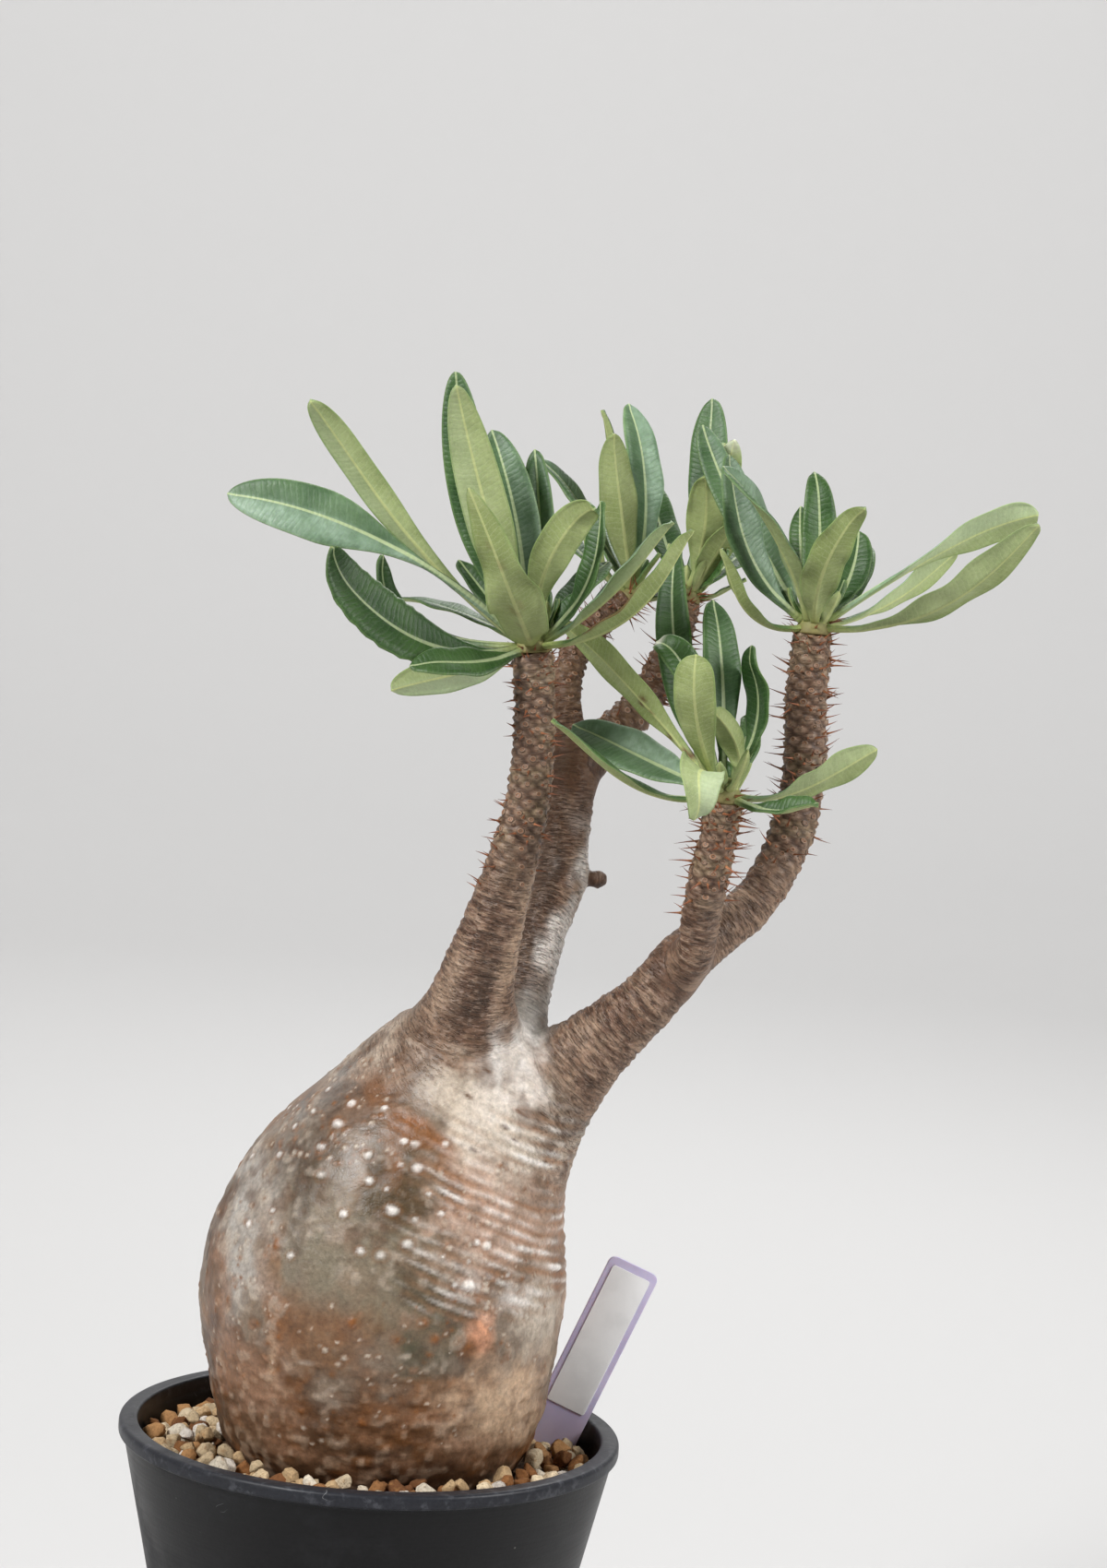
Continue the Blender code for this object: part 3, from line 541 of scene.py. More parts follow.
# The base's middle, in x and in y, in metres
baseMiddle = 0.001
barkPatches = [
    # The pale zone down the left side: partly the skin's bloom, partly painted sheen
    (128, 520, 92, 220, 8, "bloomAndSheen", 0.85),
    (300, 590, 120, 190, 8, "window", 0.95),
    # The darker upper left: partly the skin's colour, partly painted shade
    (310, 260, 190, 90, 35, "greyDark", 0.8),
    # Painted highlights: two thin pale bands along the upper left outline
    (250, 290, 170, 22, 38, "bloomAndSheen", 0.35),
    (330, 190, 60, 22, 38, "bloomAndSheen", 0.3),
    # Painted shade down the left edge
    (48, 570, 30, 120, 4, "greyDark", 0.8),
    (404, 242, 34, 34, 0, "rust", 0.8),
    (264, 434, 30, 38, 0, "olive", 0.8),
    (238, 500, 22, 90, 0, "greyDark", 0.6),
    (80, 492, 22, 28, 0, "brown", 0.7),
    (460, 430, 90, 120, -8, "olive", 1),
    (520, 500, 110, 80, -15, "olive", 0.8),
    (400, 380, 30, 60, 0, "olive", 0.6),
    (440, 385, 26, 60, 20, "orange", 0.5),
    (560, 410, 70, 30, -30, "rust", 0.7),
    (455, 660, 110, 120, 0, "window", 0.7),
    (500, 640, 70, 60, 0, "olive", 0.5),
    (505, 800, 92, 68, 0, "darkGreen", 0.95),
    (520, 730, 60, 50, 0, "darkGreen", 0.6),
    (300, 770, 110, 70, -8, "rust", 0.6),
    (168, 630, 26, 130, 6, "orange", 0.32),
    (190, 580, 12, 70, -10, "orange", 0.3),
    (190, 730, 50, 50, 10, "rust", 0.6),
    (175, 825, 12, 60, 4, "sand", 0.6),
    (60, 640, 26, 80, 0, "rose", 0.7),
    (56, 735, 24, 26, 0, "brown", 0.8),
    (110, 840, 70, 80, 0, "rose", 0.8),
    (745, 745, 60, 120, 8, "pale", 0.95),
    (700, 690, 44, 34, 0, "white", 0.6),
    (700, 470, 150, 150, -20, "pink", 0.8),
    (720, 380, 120, 70, -25, "pale", 0.95),
    (670, 315, 118, 62, -25, "pale", 0.8),
    (704, 165, 84, 130, 0, "white", 0.55),
    (740, 40, 34, 120, 0, "white", 0.8),
    (560, 250, 70, 40, -15, "pale", 0.5),
    (490, 332, 66, 24, -28, "orange", 0.9),
    (626, 772, 26, 36, 0, "red", 0.85),
    (646, 728, 14, 20, 0, "red", 0.6),
    (600, 800, 24, 26, 0, "rust", 0.9),
    (600, 662, 22, 18, 0, "white", 0.9),
    (862, 205, 55, 34, 25, "yellow", 0.7),
    (848, 145, 28, 28, 0, "darkGreen", 0.8),
    (560, 885, 120, 26, 0, "tan", 0.6),
    (450, 960, 150, 70, 0, "rust", 0.6),
    # The pale lower right: partly the skin's colour, partly painted light from the right
    (690, 890, 105, 95, 0, "sand", 0.9),
    (640, 970, 115, 50, 0, "sand", 0.8),
    (585, 1015, 80, 40, 0, "rose", 0.7),
    # Painted shade along the foot
    (450, 1050, 110, 26, 0, "paintedShadeBrown", 0.6),
    (190, 960, 80, 60, 0, "rose", 0.6),
    (632, 20, 17, 130, -8, "stemDark", 0.85),
    (672, -190, 12, 100, -16, "stemDark", 0.5),
    (595, 80, 34, 70, 0, "stemDark", 0.6),
    (708, -100, 16, 190, -12, "stemPale", 0.95),
    (545, 20, 22, 100, -25, "stemPale", 0.6),
]
# Short dark cracks beside the neck, as (x, y)
barkCracks = [
    (710, 288), (724, 297), (757, 291), (678, 321), (747, 324), (806, 334), (783, 375), (768, 398),
    (613, 370), (601, 256), (830, 269), (793, 274), (640, 200), (560, 190), (520, 215), (700, 350),
]
barkPores = [
    (385, 382, 12), (463, 352, 8), (487, 357, 11), (550, 357, 9), (490, 408, 13), (385, 436, 11),
    (455, 402, 7), (437, 500, 14), (332, 508, 10), (285, 425, 12), (540, 507, 8), (425, 455, 6),
    (470, 573, 12), (412, 597, 13), (368, 588, 10), (218, 598, 9), (600, 662, 15), (570, 660, 8),
    (447, 780, 10), (285, 365, 12), (420, 280, 9), (320, 315, 14), (300, 240, 8), (350, 270, 10),
    (270, 290, 8), (230, 320, 9), (195, 380, 10), (352, 742, 12), (505, 742, 10), (530, 778, 10),
    (600, 795, 8), (130, 530, 8), (180, 500, 7), (515, 465, 7), (485, 520, 9), (620, 570, 8),
    (640, 575, 12), (600, 610, 7), (685, 640, 8), (545, 600, 6), (240, 935, 9), (370, 955, 8),
]
barkScratch = ((240, 829), (470, 815))
# Bumpy areas as (left, top, right, bottom) and how many bumps each has
barkBumpy = [
    ((170, 170, 440, 400), 120), ((35, 420, 200, 860), 90), ((150, 700, 720, 1010), 90),
    ((560, 640, 790, 860), 40), ((540, 400, 790, 680), 60),
]
# The colours of the patches on the sides that the picture doesn't show, in turn
backKinds = [
    "olive", "rust", "bloomAndSheen", "window", "pale", "rose", "greyDark", "orange", "pink", "greyDark",
    "darkGreen",
]


def branchStations(points, spacing):
    rows, lengths = evenlyThrough(points, spacing, 3)
    centres = rows[:, :3] * mm
    along = unit(np.gradient(centres, axis=0))
    current = np.array(Vector(along[0]).orthogonal())
    across = np.zeros_like(centres)
    for number, direction in enumerate(along):
        current = unit(current - direction * current.dot(direction))
        across[number] = current
    return {
        "centre": centres,
        "along": along,
        "across": across,
        "out": np.cross(along, across),
        "radius": rows[:, 3] * mm,
        "length": lengths * mm,
    }


def caudexRows(spacing):
    rows, _ = evenlyThrough(caudexOutline, spacing, 2)
    share = (rows[:, 0] - rows[0, 0]) / (rows[-1, 0] - rows[0, 0])
    centre = np.column_stack([(rows[:, 1] + rows[:, 2]) / 2, caudexLeanBack * share, rows[:, 0]]) * mm
    return centre, (rows[:, 2] - rows[:, 1]) / 2 * mm


def ringPoints(centre, across, out, radius, sides):
    angles = np.arange(sides) * math.tau / sides
    spread = np.cos(angles)[None, :, None] * across[:, None, :]
    spread = spread + np.sin(angles)[None, :, None] * out[:, None, :]
    return (centre[:, None, :] + spread * np.asarray(radius)[:, None, None]).reshape(-1, 3)


# Every form as a closed tube, then one skin over them all, kept above a height
def bodySkin(voxel, above):
    centre, radius = caudexRows(2)
    across = np.tile((1.0, 0, 0), (len(centre), 1))
    out = np.tile((0, caudexDepth, 0), (len(centre), 1))
    points = [ringPoints(centre, across, out, radius, bodyLook["baseSides"])]
    faces = loftFaces(len(centre), bodyLook["baseSides"])
    start = len(points[0])
    sides = bodyLook["stemSides"]
    for shape in stems.values():
        tube = ringPoints(shape["centre"], shape["across"], shape["out"], shape["radius"], sides)
        faces += loftFaces(len(shape["centre"]), sides, start)
        points.append(tube)
        start += len(tube)
    forms = newObject("forms", meshFrom("forms", np.vstack(points), faces))
    remesh = forms.modifiers.new("Skin", "REMESH")
    remesh.mode = "VOXEL"
    remesh.voxel_size = voxel * mm
    mesh = evaluatedMesh(forms)
    points = np.empty(len(mesh.vertices) * 3)
    mesh.vertices.foreach_get("co", points)
    points = points.reshape(-1, 3)
    faces = np.empty(len(mesh.loops), np.int64)
    mesh.loops.foreach_get("vertex_index", faces)
    faces = faces.reshape(-1, 4)
    bpy.data.meshes.remove(mesh)
    faces = faces[points[faces][:, :, 2].min(1) > above]
    used, faces = np.unique(faces, return_inverse=True)
    faces = faces.reshape(-1, 4)
    pairs = np.vstack([faces[:, [corner, (corner + 1) % 4]] for corner in range(4)])
    return points[used], faces, np.unique(np.sort(pairs, axis=1), axis=0)


def relaxed(points, edges, rounds, strength):
    count = np.bincount(edges.ravel(), minlength=len(points))[:, None]
    for _ in range(rounds):
        total = np.column_stack(
            [
                np.bincount(edges[:, 0], points[edges[:, 1], axis], len(points))
                + np.bincount(edges[:, 1], points[edges[:, 0], axis], len(points))
                for axis in range(3)
            ]
        )
        points = points + (total / count - points) * strength
    return points


def pointNormals(points, faces):
    a, b, c, d = (points[faces[:, i]] for i in range(4))
    normal = np.cross(c - a, d - b)
    total = np.zeros_like(points)
    for corner in range(4):
        for axis in range(3):
            total[:, axis] += np.bincount(faces[:, corner], normal[:, axis], len(points))
    return unit(total)


# Where each point lies along and round a stem: its gap from the stem's surface, length, angle,
# distance from the axis, and the share of the stem's length
def placesOnStem(points, shape):
    centre = shape["centre"]
    gaps = np.empty(len(points))
    nearest = np.empty(len(points), np.int64)
    blockSize = 20000
    for start in range(0, len(points), blockSize):
        block = points[start : start + blockSize]
        square = (block**2).sum(1)[:, None] + (centre**2).sum(1)[None] - 2 * block @ centre.T
        gap = np.sqrt(np.maximum(square, 0)) - shape["radius"][None]
        nearest[start : start + blockSize] = gap.argmin(1)
        gaps[start : start + blockSize] = gap.min(1)
    offset = points - centre[nearest]
    x = (offset * shape["across"][nearest]).sum(1)
    y = (offset * shape["out"][nearest]).sum(1)
    length = shape["length"][nearest] + (offset * shape["along"][nearest]).sum(1)
    return gaps, length, np.arctan2(y, x), np.hypot(x, y), length / shape["length"][-1]


def caudexGap(points):
    centre, radius = caudexRows(1)
    row = np.clip(np.searchsorted(centre[:, 2], points[:, 2]), 0, len(radius) - 1)
    offset = points - centre[row]
    reach = np.hypot(offset[:, 0], offset[:, 1] / caudexDepth) - radius[row]
    above = points[:, 2] - centre[-1, 2]
    return np.where(above > 0, np.hypot(np.maximum(reach, 0), above), reach)


# How far a point is from the nearest leaf scar of a golden spiral round the stem, in scars
def scarDistance(length, angle, radius, step):
    best = np.full(len(length), 9.0)
    first = np.round(length / step)
    for offset in range(-5, 6):
        number = first + offset
        turn = angle - number * goldenAngle
        turn = (turn + math.pi) % math.tau - math.pi
        aside = turn * radius / (bodyLook["scarWidth"] * mm)
        along = (length - number * step) / (bodyLook["scarHeight"] * mm)
        best = np.minimum(best, np.hypot(aside, along))
    return best


def pictureRay(x, y):
    pixel = cameraSensor / frameHeight
    ray = cameraForward * cameraLens + cameraRight * (x - frameWidth / 2) * pixel
    return (ray + cameraUp * (frameHeight / 2 - y) * pixel).normalized()


def markPlace(tree, x, y):
    ray = pictureRay(markCorner[0] + x / markScale, markCorner[1] + y / markScale)
    hit = tree.ray_cast(cameraPlace, ray)[0]
    return np.array(hit) if hit else None


def softForm(voxel, above):
    points, faces, edges = bodySkin(voxel, above)
    points = relaxed(points, edges, 3, 0.5)
    form = {"faces": faces}
    base = caudexGap(points)
    names = list(stems)
    places = {name: placesOnStem(points, stems[name]) for name in names}
    gaps = np.stack([places[name][0] for name in names])
    owner = gaps.argmin(0)
    # The stems flare softly into the swollen base and into each other
    ranked = np.sort(np.vstack([gaps, base[None]]), axis=0)
    reach = np.where(base < 0.012, 0.011, 0.004)
    bulge = np.clip(1 - np.maximum(ranked[1], 0) / reach, 0, 1) ** 2 * reach / 4
    bulge *= owner != names.index("old_stub")
    normals = pointNormals(relaxed(points, edges, 6, 0.5), faces)
    points = points + normals * bulge[:, None]
    near = smoothstep(0.012, 0.002, ranked[1])[:, None]
    rounds = round(10 * (bodyLook["baseVoxel"] / voxel) ** 2)
    points = points * (1 - near) + relaxed(points, edges, rounds, 0.5) * near
    length, angle, radius, share = (
        np.choose(owner, [places[name][i] for name in names]) for i in range(1, 5)
    )
    knobLow, knobHigh = (np.choose(owner, [stemHabit[name]["knobs"][i] for name in names]) for i in (0, 1))
    form["points"] = points
    form["normals"] = pointNormals(points, faces)
    form["gap"] = gaps.min(0)
    # Close to the line where two stems meet, what runs round the stems fades out
    nearest = np.sort(gaps, axis=0)
    form["lone"] = smoothstep(0.0, 0.0045, nearest[1] - nearest[0])
    form["neck"] = smoothstep(0.016, 0.004, nearest[1] - nearest[0])
    form["stem"] = smoothstep(0.0, 0.014, base - form["gap"])
    form["knobby"] = smoothstep(knobLow, knobHigh, share) * form["stem"]
    form["scar"] = scarDistance(length, angle, radius, bodyLook["scarStep"] * mm)
    form["share"] = share
    form["owner"] = np.array(names)[owner]
    form["place"] = np.column_stack([np.cos(angle) * radius, np.sin(angle) * radius, length + owner * 0.3])
    return form


# Spots on the base: those read off the picture, and more of the same kinds on the sides that it
# doesn't show
def findMarks(tree):
    draw = random.Random(bodyLook["seed"])
    size = markSize
    patches, pores = [], []

    def around(low, high, bottom, top):
        turn, height = draw.uniform(low, high), draw.uniform(bottom, top)
        origin = Vector((baseMiddle + math.cos(turn) * 0.2, baseMiddle + math.sin(turn) * 0.2, height))
        return tree.ray_cast(origin, Vector((baseMiddle, baseMiddle, height)) - origin)[0]

    # A mark of the picture lies flat to the camera, and one on the other sides flat to the base
    cracks = [(x, y, 11, 4, -30, "brown", 1) for x, y in barkCracks]
    for x, y, wide, high, tilt, name, strength in barkPatches + cracks:
        spot = markPlace(tree, x, y)
        if spot is not None:
            patches.append((spot, np.array([1.0, 0, 0]), wide * size, high * size, tilt, name, strength))
    for number in range(bodyLook["backPatches"]):
        hit = around(0.1, math.pi - 0.1, 0.105, 0.182)
        if hit:
            wide = draw.uniform(0.004, 0.014)
            kind = backKinds[number % len(backKinds)]
            flat = unit(np.array([baseMiddle - hit[1], hit[0] - baseMiddle, 0]))
            high = wide * draw.uniform(0.5, 1.5)
            patches.append((np.array(hit), flat, wide, high, draw.uniform(-40, 40), kind, 0.85))
    for x, y, radius in barkPores:
        spot = markPlace(tree, x, y)
        if spot is not None:
            pores.append((spot, radius * size, "white" if y < 690 else "orange"))
    for (left, top, right, bottom), count in barkBumpy:
        for _ in range(count):
            spot = markPlace(tree, draw.uniform(left, right), draw.uniform(top, bottom))
            if spot is not None:
                kind = draw.choice(["pale", "pale", "rose", "orange"])
                pores.append((spot, draw.triangular(0.0003, 0.001, 0.0004), kind))
    for _ in range(bodyLook["backPores"]):
        hit = around(-0.25, math.pi + 0.3, 0.102, 0.188)
        if hit:
            radius = draw.triangular(0.0003, 0.0013, 0.0005)
            pores.append((np.array(hit), radius, draw.choice(["white", "pale", "orange"])))
    scratch = [markPlace(tree, x, y) for x, y in barkScratch]
    return patches, pores, scratch


def dressForm(form, marks):
    points, stem, knobby, scar = form["points"], form["stem"], form["knobby"], form["scar"]
    place, share = form["place"], form["share"]
    patches, pores, scratch = marks
    count = len(points)
    onBase = 1 - stem
    height = points[:, 2]
    around = np.arctan2(points[:, 0] - baseMiddle, -points[:, 1])

    # Relief of the stems: leaf cushions, and wrinkles that run round
    lone = form["lone"]
    knob = 1 - smoothstep(0.4, 1.0, scar)
    dash = layeredNoise(place * (1, 1, 3), 0.0034, 21, 2) * 2.2
    ringPhase = place[:, 2] / bodyLook["ringPitch"] + layeredNoise(place * (1, 1, 0.5), 0.011, 25, 2) * 1.1
    ring = (1 - np.abs((ringPhase % 1) * 2 - 1)) * smoothstep(-0.5, 0.2, layeredNoise(place, 0.005, 27, 2))
    coarse = layeredNoise(place * (1, 1, 1.6), 0.009, 33, 2)
    rise = (knobby * knob * bodyLook["knobRise"] + stem * coarse * 0.3) * lone
    rise += stem * lone * (1 - knobby * 0.6) * (dash * bodyLook["dashRise"] + ring * bodyLook["ringRise"])

    # Relief of the swollen base: slow unevenness, wrinkles below the stems and on the right flank
    slow = layeredNoise(points, 0.017, 41, 2)
    small = layeredNoise(points, 0.0045, 51, 2)
    tiny = softNoise(points, 0.0019, 55)
    leftSide = smoothstep(0.0, -0.03, points[:, 0])
    rough = smoothstep(-0.3, 0.3, layeredNoise(points, 0.016, 57, 2) + leftSide * 0.5 - 0.15)
    low = onBase * smoothstep(0.128, 0.112, height)
    rough = np.clip(rough + low, 0, 1) * onBase
    rise += onBase * (slow * 0.6 + small * 0.14) + rough * (small * 0.28 + np.maximum(tiny, 0) * 0.2)
    byStem = onBase * smoothstep(0.015, 0.002, form["gap"] + small * 0.003) * lone * (1 - form["neck"] * 0.85)
    rise += byStem * (dash * 0.14 + ring * 0.1)
    # The flank's folds run down under the right stem; along them the noise is long, across them short
    along = height + points[:, 0] * 0.44
    streaky = np.column_stack([points[:, 0], points[:, 1], along])
    warp = layeredNoise(streaky, 0.018, 61, 2) * 0.0012
    slant = (along + warp) / (bodyLook["flankPitch"] * mm)
    fold = np.cos(slant * math.tau)
    fold = fold + layeredNoise(streaky * (0.4, 0.4, 1.8), 0.004, 73, 2) * 1.3
    broken = smoothstep(-0.4, 0.2, layeredNoise(streaky * (0.5, 0.5, 1.2), 0.009, 71, 2))
    flank = onBase * smoothstep(-0.1, 0.6, around + (height - 0.155) * 4) * smoothstep(2.6, 2.0, around)
    flank *= smoothstep(0.13, 0.142, height) * smoothstep(0.187, 0.174, height) * (0.25 + 0.75 * broken)
    rise += flank * fold * bodyLook["flankRise"]
    ripple = layeredNoise(points * (1, 1, 3), 0.006, 81, 2)
    rise += low * ripple * 0.35 + flank * layeredNoise(points * (1, 1, 2), 0.003, 85, 1) * 0.16

    # Colours
    palette = {name: np.array(value) for name, value in barkColours.items()}
    edge = layeredNoise(points, 0.009, 91, 4)
    mottle = layeredNoise(points, 0.0055, 95, 2)
    colour = np.tile(palette["skin"], (count, 1))

    def blend(name, weight):
        nonlocal colour
        colour = colour + (palette[name] - colour) * np.clip(weight, 0, 1)[:, None]

    blend("rose", smoothstep(-0.1, 0.4, layeredNoise(points, 0.02, 101, 3)) * 0.6)
    blend("greyDark", smoothstep(0.0, 0.35, layeredNoise(points, 0.012, 111, 4)) * 0.6)
    lower = smoothstep(0.133, 0.113, height + edge * 0.02)
    blend("brown", lower * 0.85)
    blend("rust", lower * smoothstep(-0.1, 0.3, layeredNoise(points * (1, 1, 1.8), 0.009, 119, 3)) * 0.7)
    blend("rose", lower * smoothstep(0.1, 0.4, layeredNoise(points * (1, 1, 1.5), 0.008, 121, 4)) * 0.6)

    def blendPatch(spot, flat, wide, high, tilt, name, strength):
        offset = points - spot
        aside = offset @ flat
        lean = math.radians(tilt)
        a = (aside * math.cos(lean) + offset[:, 2] * math.sin(lean)) / wide
        b = (-aside * math.sin(lean) + offset[:, 2] * math.cos(lean)) / high
        depth = (offset @ np.array([-flat[1], flat[0], 0])) / (max(wide, high) * 1.5 + 0.006)
        distance = np.sqrt(a**2 + b**2 + depth**2)
        ragged = min(1, max(wide, high) / 0.005)
        uneven = distance + (edge * 1.1 + mottle * 0.45) * ragged
        blend(name, smoothstep(1.5, 0.35, uneven) * strength * (1 + mottle * 0.8))

    for patch in patches:
        if not patch[5].startswith("stem"):
            blendPatch(*patch)
    # Painted shade: the lowest middle of the base, by the gravel, is painted dark
    foot = smoothstep(0.108, 0.094, height + edge * 0.012) * smoothstep(0.034, 0.018, np.abs(points[:, 0]))
    blend("paintedShadeBrown", foot * 0.8)
    # Pale on the rough bumps and brown in their hollows: partly the skin's own colours, partly painted
    # highlight and painted shade
    blend("pale", rough * smoothstep(0.25, 0.7, small + tiny * 0.8) * (0.33 - lower * 0.18))
    blend("sand", lower * smoothstep(0.1, 0.6, tiny + small * 0.5) * 0.2)
    blend("brown", rough * smoothstep(0.1, 0.5, -small) * (0.5 - lower * 0.2))
    # Tan in the folds' hollows and white on their ridges: partly the skin's own colours, partly painted shade
    # and painted highlight
    blend("tan", flank * np.clip(-fold * 0.9 - 0.1, 0, 1) * 0.7)
    blend("white", flank * np.clip(fold * 0.8 - 0.15, 0, 1) * (0.5 + mottle * 1.2))
    blend("brown", onBase * (1 - flank) * smoothstep(0.25, 0.7, layeredNoise(points, 0.0026, 141, 2)) * 0.3)
    for spot, size, kind in pores:
        close = np.nonzero(np.abs(height - spot[2]) < size * 2.5)[0]
        distance = np.linalg.norm((points[close] - spot) * (1, 1, 1.2), axis=1) / size
        close, distance = close[distance < 2], distance[distance < 2]
        dome = smoothstep(1.2, 0.15, distance + tiny[close] * 0.4)
        rise[close] += dome * size * 330
        halo = smoothstep(2.0, 1.3, distance) * smoothstep(0.8, 1.3, distance)
        colour[close] += (palette["rust"] - colour[close]) * (halo * 0.35)[:, None]
        colour[close] += (palette[kind] - colour[close]) * (dome * 0.85)[:, None]
    start, end = scratch
    if start is not None and end is not None:
        run = end - start
        reach = np.clip(((points - start) @ run) / (run @ run), 0, 1)
        distance = np.linalg.norm(points - start - reach[:, None] * run, axis=1)
        blend("pale", smoothstep(0.0013, 0.0003, distance + np.abs(edge) * 0.0009) * (points[:, 1] < 0) * 0.6)

    stemColour = np.tile(palette["stem"], (count, 1))

    def blendStem(name, weight):
        nonlocal stemColour
        stemColour = stemColour + (palette[name] - stemColour) * np.clip(weight, 0, 1)[:, None]

    streak = layeredNoise(place * (1, 1, 0.35), 0.006, 151, 3)
    blendStem("stemDark", smoothstep(0.05, 0.4, streak) * 0.5)
    blendStem("stemPale", smoothstep(0.0, 0.4, layeredNoise(place * (1, 1, 0.6), 0.009, 161, 3)) * 0.3)
    # Painted light: the side that faces right is painted paler
    lit = form["normals"][:, 0]
    blendStem("stemPale", smoothstep(0.3, 0.9, lit + coarse * 0.5) * 0.4)
    # Painted shade in the dashes' hollows, painted highlights on their crests and on the rings' crests
    blendStem("stemDark", smoothstep(-0.15, -0.8, dash) * (1 - knobby * 0.7) * 0.5)
    blendStem("stemPale", smoothstep(0.2, 0.9, dash) * lone * (1 - knobby * 0.6) * 0.35)
    blendStem("stemPale", smoothstep(0.45, 0.9, ring) * lone * (1 - knobby * 0.6) * 0.45)
    blendStem("stemGrey", knobby * smoothstep(-0.2, 0.3, coarse) * 0.6)
    # Painted highlight round each knob's rim and painted shade between the knobs
    blendStem("stemPale", knobby * smoothstep(1.0, 0.5, scar) * smoothstep(0.1, 0.45, scar) * 0.5)
    blendStem("stemDark", knobby * smoothstep(0.9, 1.2, scar) * 0.7)
    isBack = (form["owner"] == "back") * stem * smoothstep(0.215, 0.235, 0.47 - height)
    blotch = layeredNoise(place * (1, 1, 0.7), 0.012, 171, 3)
    # Painted shade on the back stem's side that faces away from the right; its white blotches keep to the lit
    # side, partly painted light
    blendStem("stemDark", isBack * smoothstep(0.5, -0.3, lit + blotch) * 0.65)
    blendStem("white", isBack * smoothstep(0.1, 0.5, lit * 0.5 - blotch) * 0.7)
    blendStem("white", isBack * smoothstep(0.4, 0.15, share) * smoothstep(-0.3, 0.3, blotch + lit) * 0.7)
    # Painted shade: the upper back stems are painted darker and redder
    paintedShadeUpperBack = np.isin(form["owner"], ["back_left", "back_right"]) * stem
    paintedShadeUpperBack = np.maximum(paintedShadeUpperBack, stem * (form["owner"] == "back") * smoothstep(0.235, 0.25, height))
    blendStem("stemDark", paintedShadeUpperBack * (0.45 + smoothstep(0.2, -0.2, coarse) * 0.25))
    blendStem("rust", paintedShadeUpperBack * 0.25)
    colour = colour + (stemColour - colour) * smoothstep(0.15, 0.85, stem + edge * 0.5)[:, None]
    # Painted shade in the hollows of the wrinkles beside the stems
    blend("brown", byStem * smoothstep(0.0, -0.5, dash) * smoothstep(-0.3, 0.2, edge) * 0.7)
    for patch in patches:
        if patch[5].startswith("stem"):
            blendPatch(*patch)

    form["rise"] = rise
    form["colour"] = colour
    ringed = stem * (0.25 + 0.75 * lone) * (1 - form["neck"] * (height < 0.2) * 0.6)
    ringed = np.clip(ringed + byStem * 0.6, 0, 1)
    smoothArea = np.clip(onBase * (1 - flank) * (1 - rough) - byStem, 0, 1)
    form["mask"] = np.column_stack([ringed, smoothArea, knobby])
    form["points"] = points + form["normals"] * (rise * mm)[:, None]
    form["normals"] = pointNormals(form["points"], form["faces"])


def addBark(name, form, chosen, material):
    used, renumbered = np.unique(form["faces"][chosen], return_inverse=True)
    mesh = meshFrom(name, form["points"][used], renumbered.reshape(-1, 4))
    addColour(mesh, "barkColour", form["colour"][used])
    addColour(mesh, "barkMask", form["mask"][used])
    addVector(mesh, "stemPlace", form["place"][used] * 1000)
    mesh.normals_split_custom_set_from_vertices(form["normals"][used].tolist())
    addPiece(name, mesh, material, ["plant_body"])
    print(name, len(mesh.polygons) * 2, "triangles", flush=True)


# The base and the stems come from two skins of the same forms, the stems' the finer one
def makeBody(material):
    print("plant body: base", flush=True)
    base = softForm(bodyLook["baseVoxel"], bodyLook["baseFrom"])
    marks = findMarks(BVHTree.FromPolygons(base["points"].tolist(), base["faces"].tolist()))
    dressForm(base, marks)
    onBase = base["stem"][base["faces"]].mean(1) < bodyLook["baseLimit"]
    isFront = base["points"][base["faces"]].mean(1)[:, 1] < 0
    addBark("plantBaseFront", base, onBase & isFront, material)
    addBark("plantBaseBack", base, onBase & ~isFront, material)
    print("plant body: stems", flush=True)
    fine = softForm(bodyLook["stemVoxel"], bodyLook["stemsFrom"])
    dressForm(fine, marks)
    isStem = fine["stem"][fine["faces"]].mean(1) > bodyLook["stemLimit"]
    isFront = np.isin(fine["owner"][fine["faces"][:, 0]], ["front_left", "front_right", "old_stub"])
    addBark("plantStemsFront", fine, isStem & isFront, material)
    addBark("plantStemsBack", fine, isStem & ~isFront, material)
    return BVHTree.FromPolygons(fine["points"].tolist(), fine["faces"].tolist())


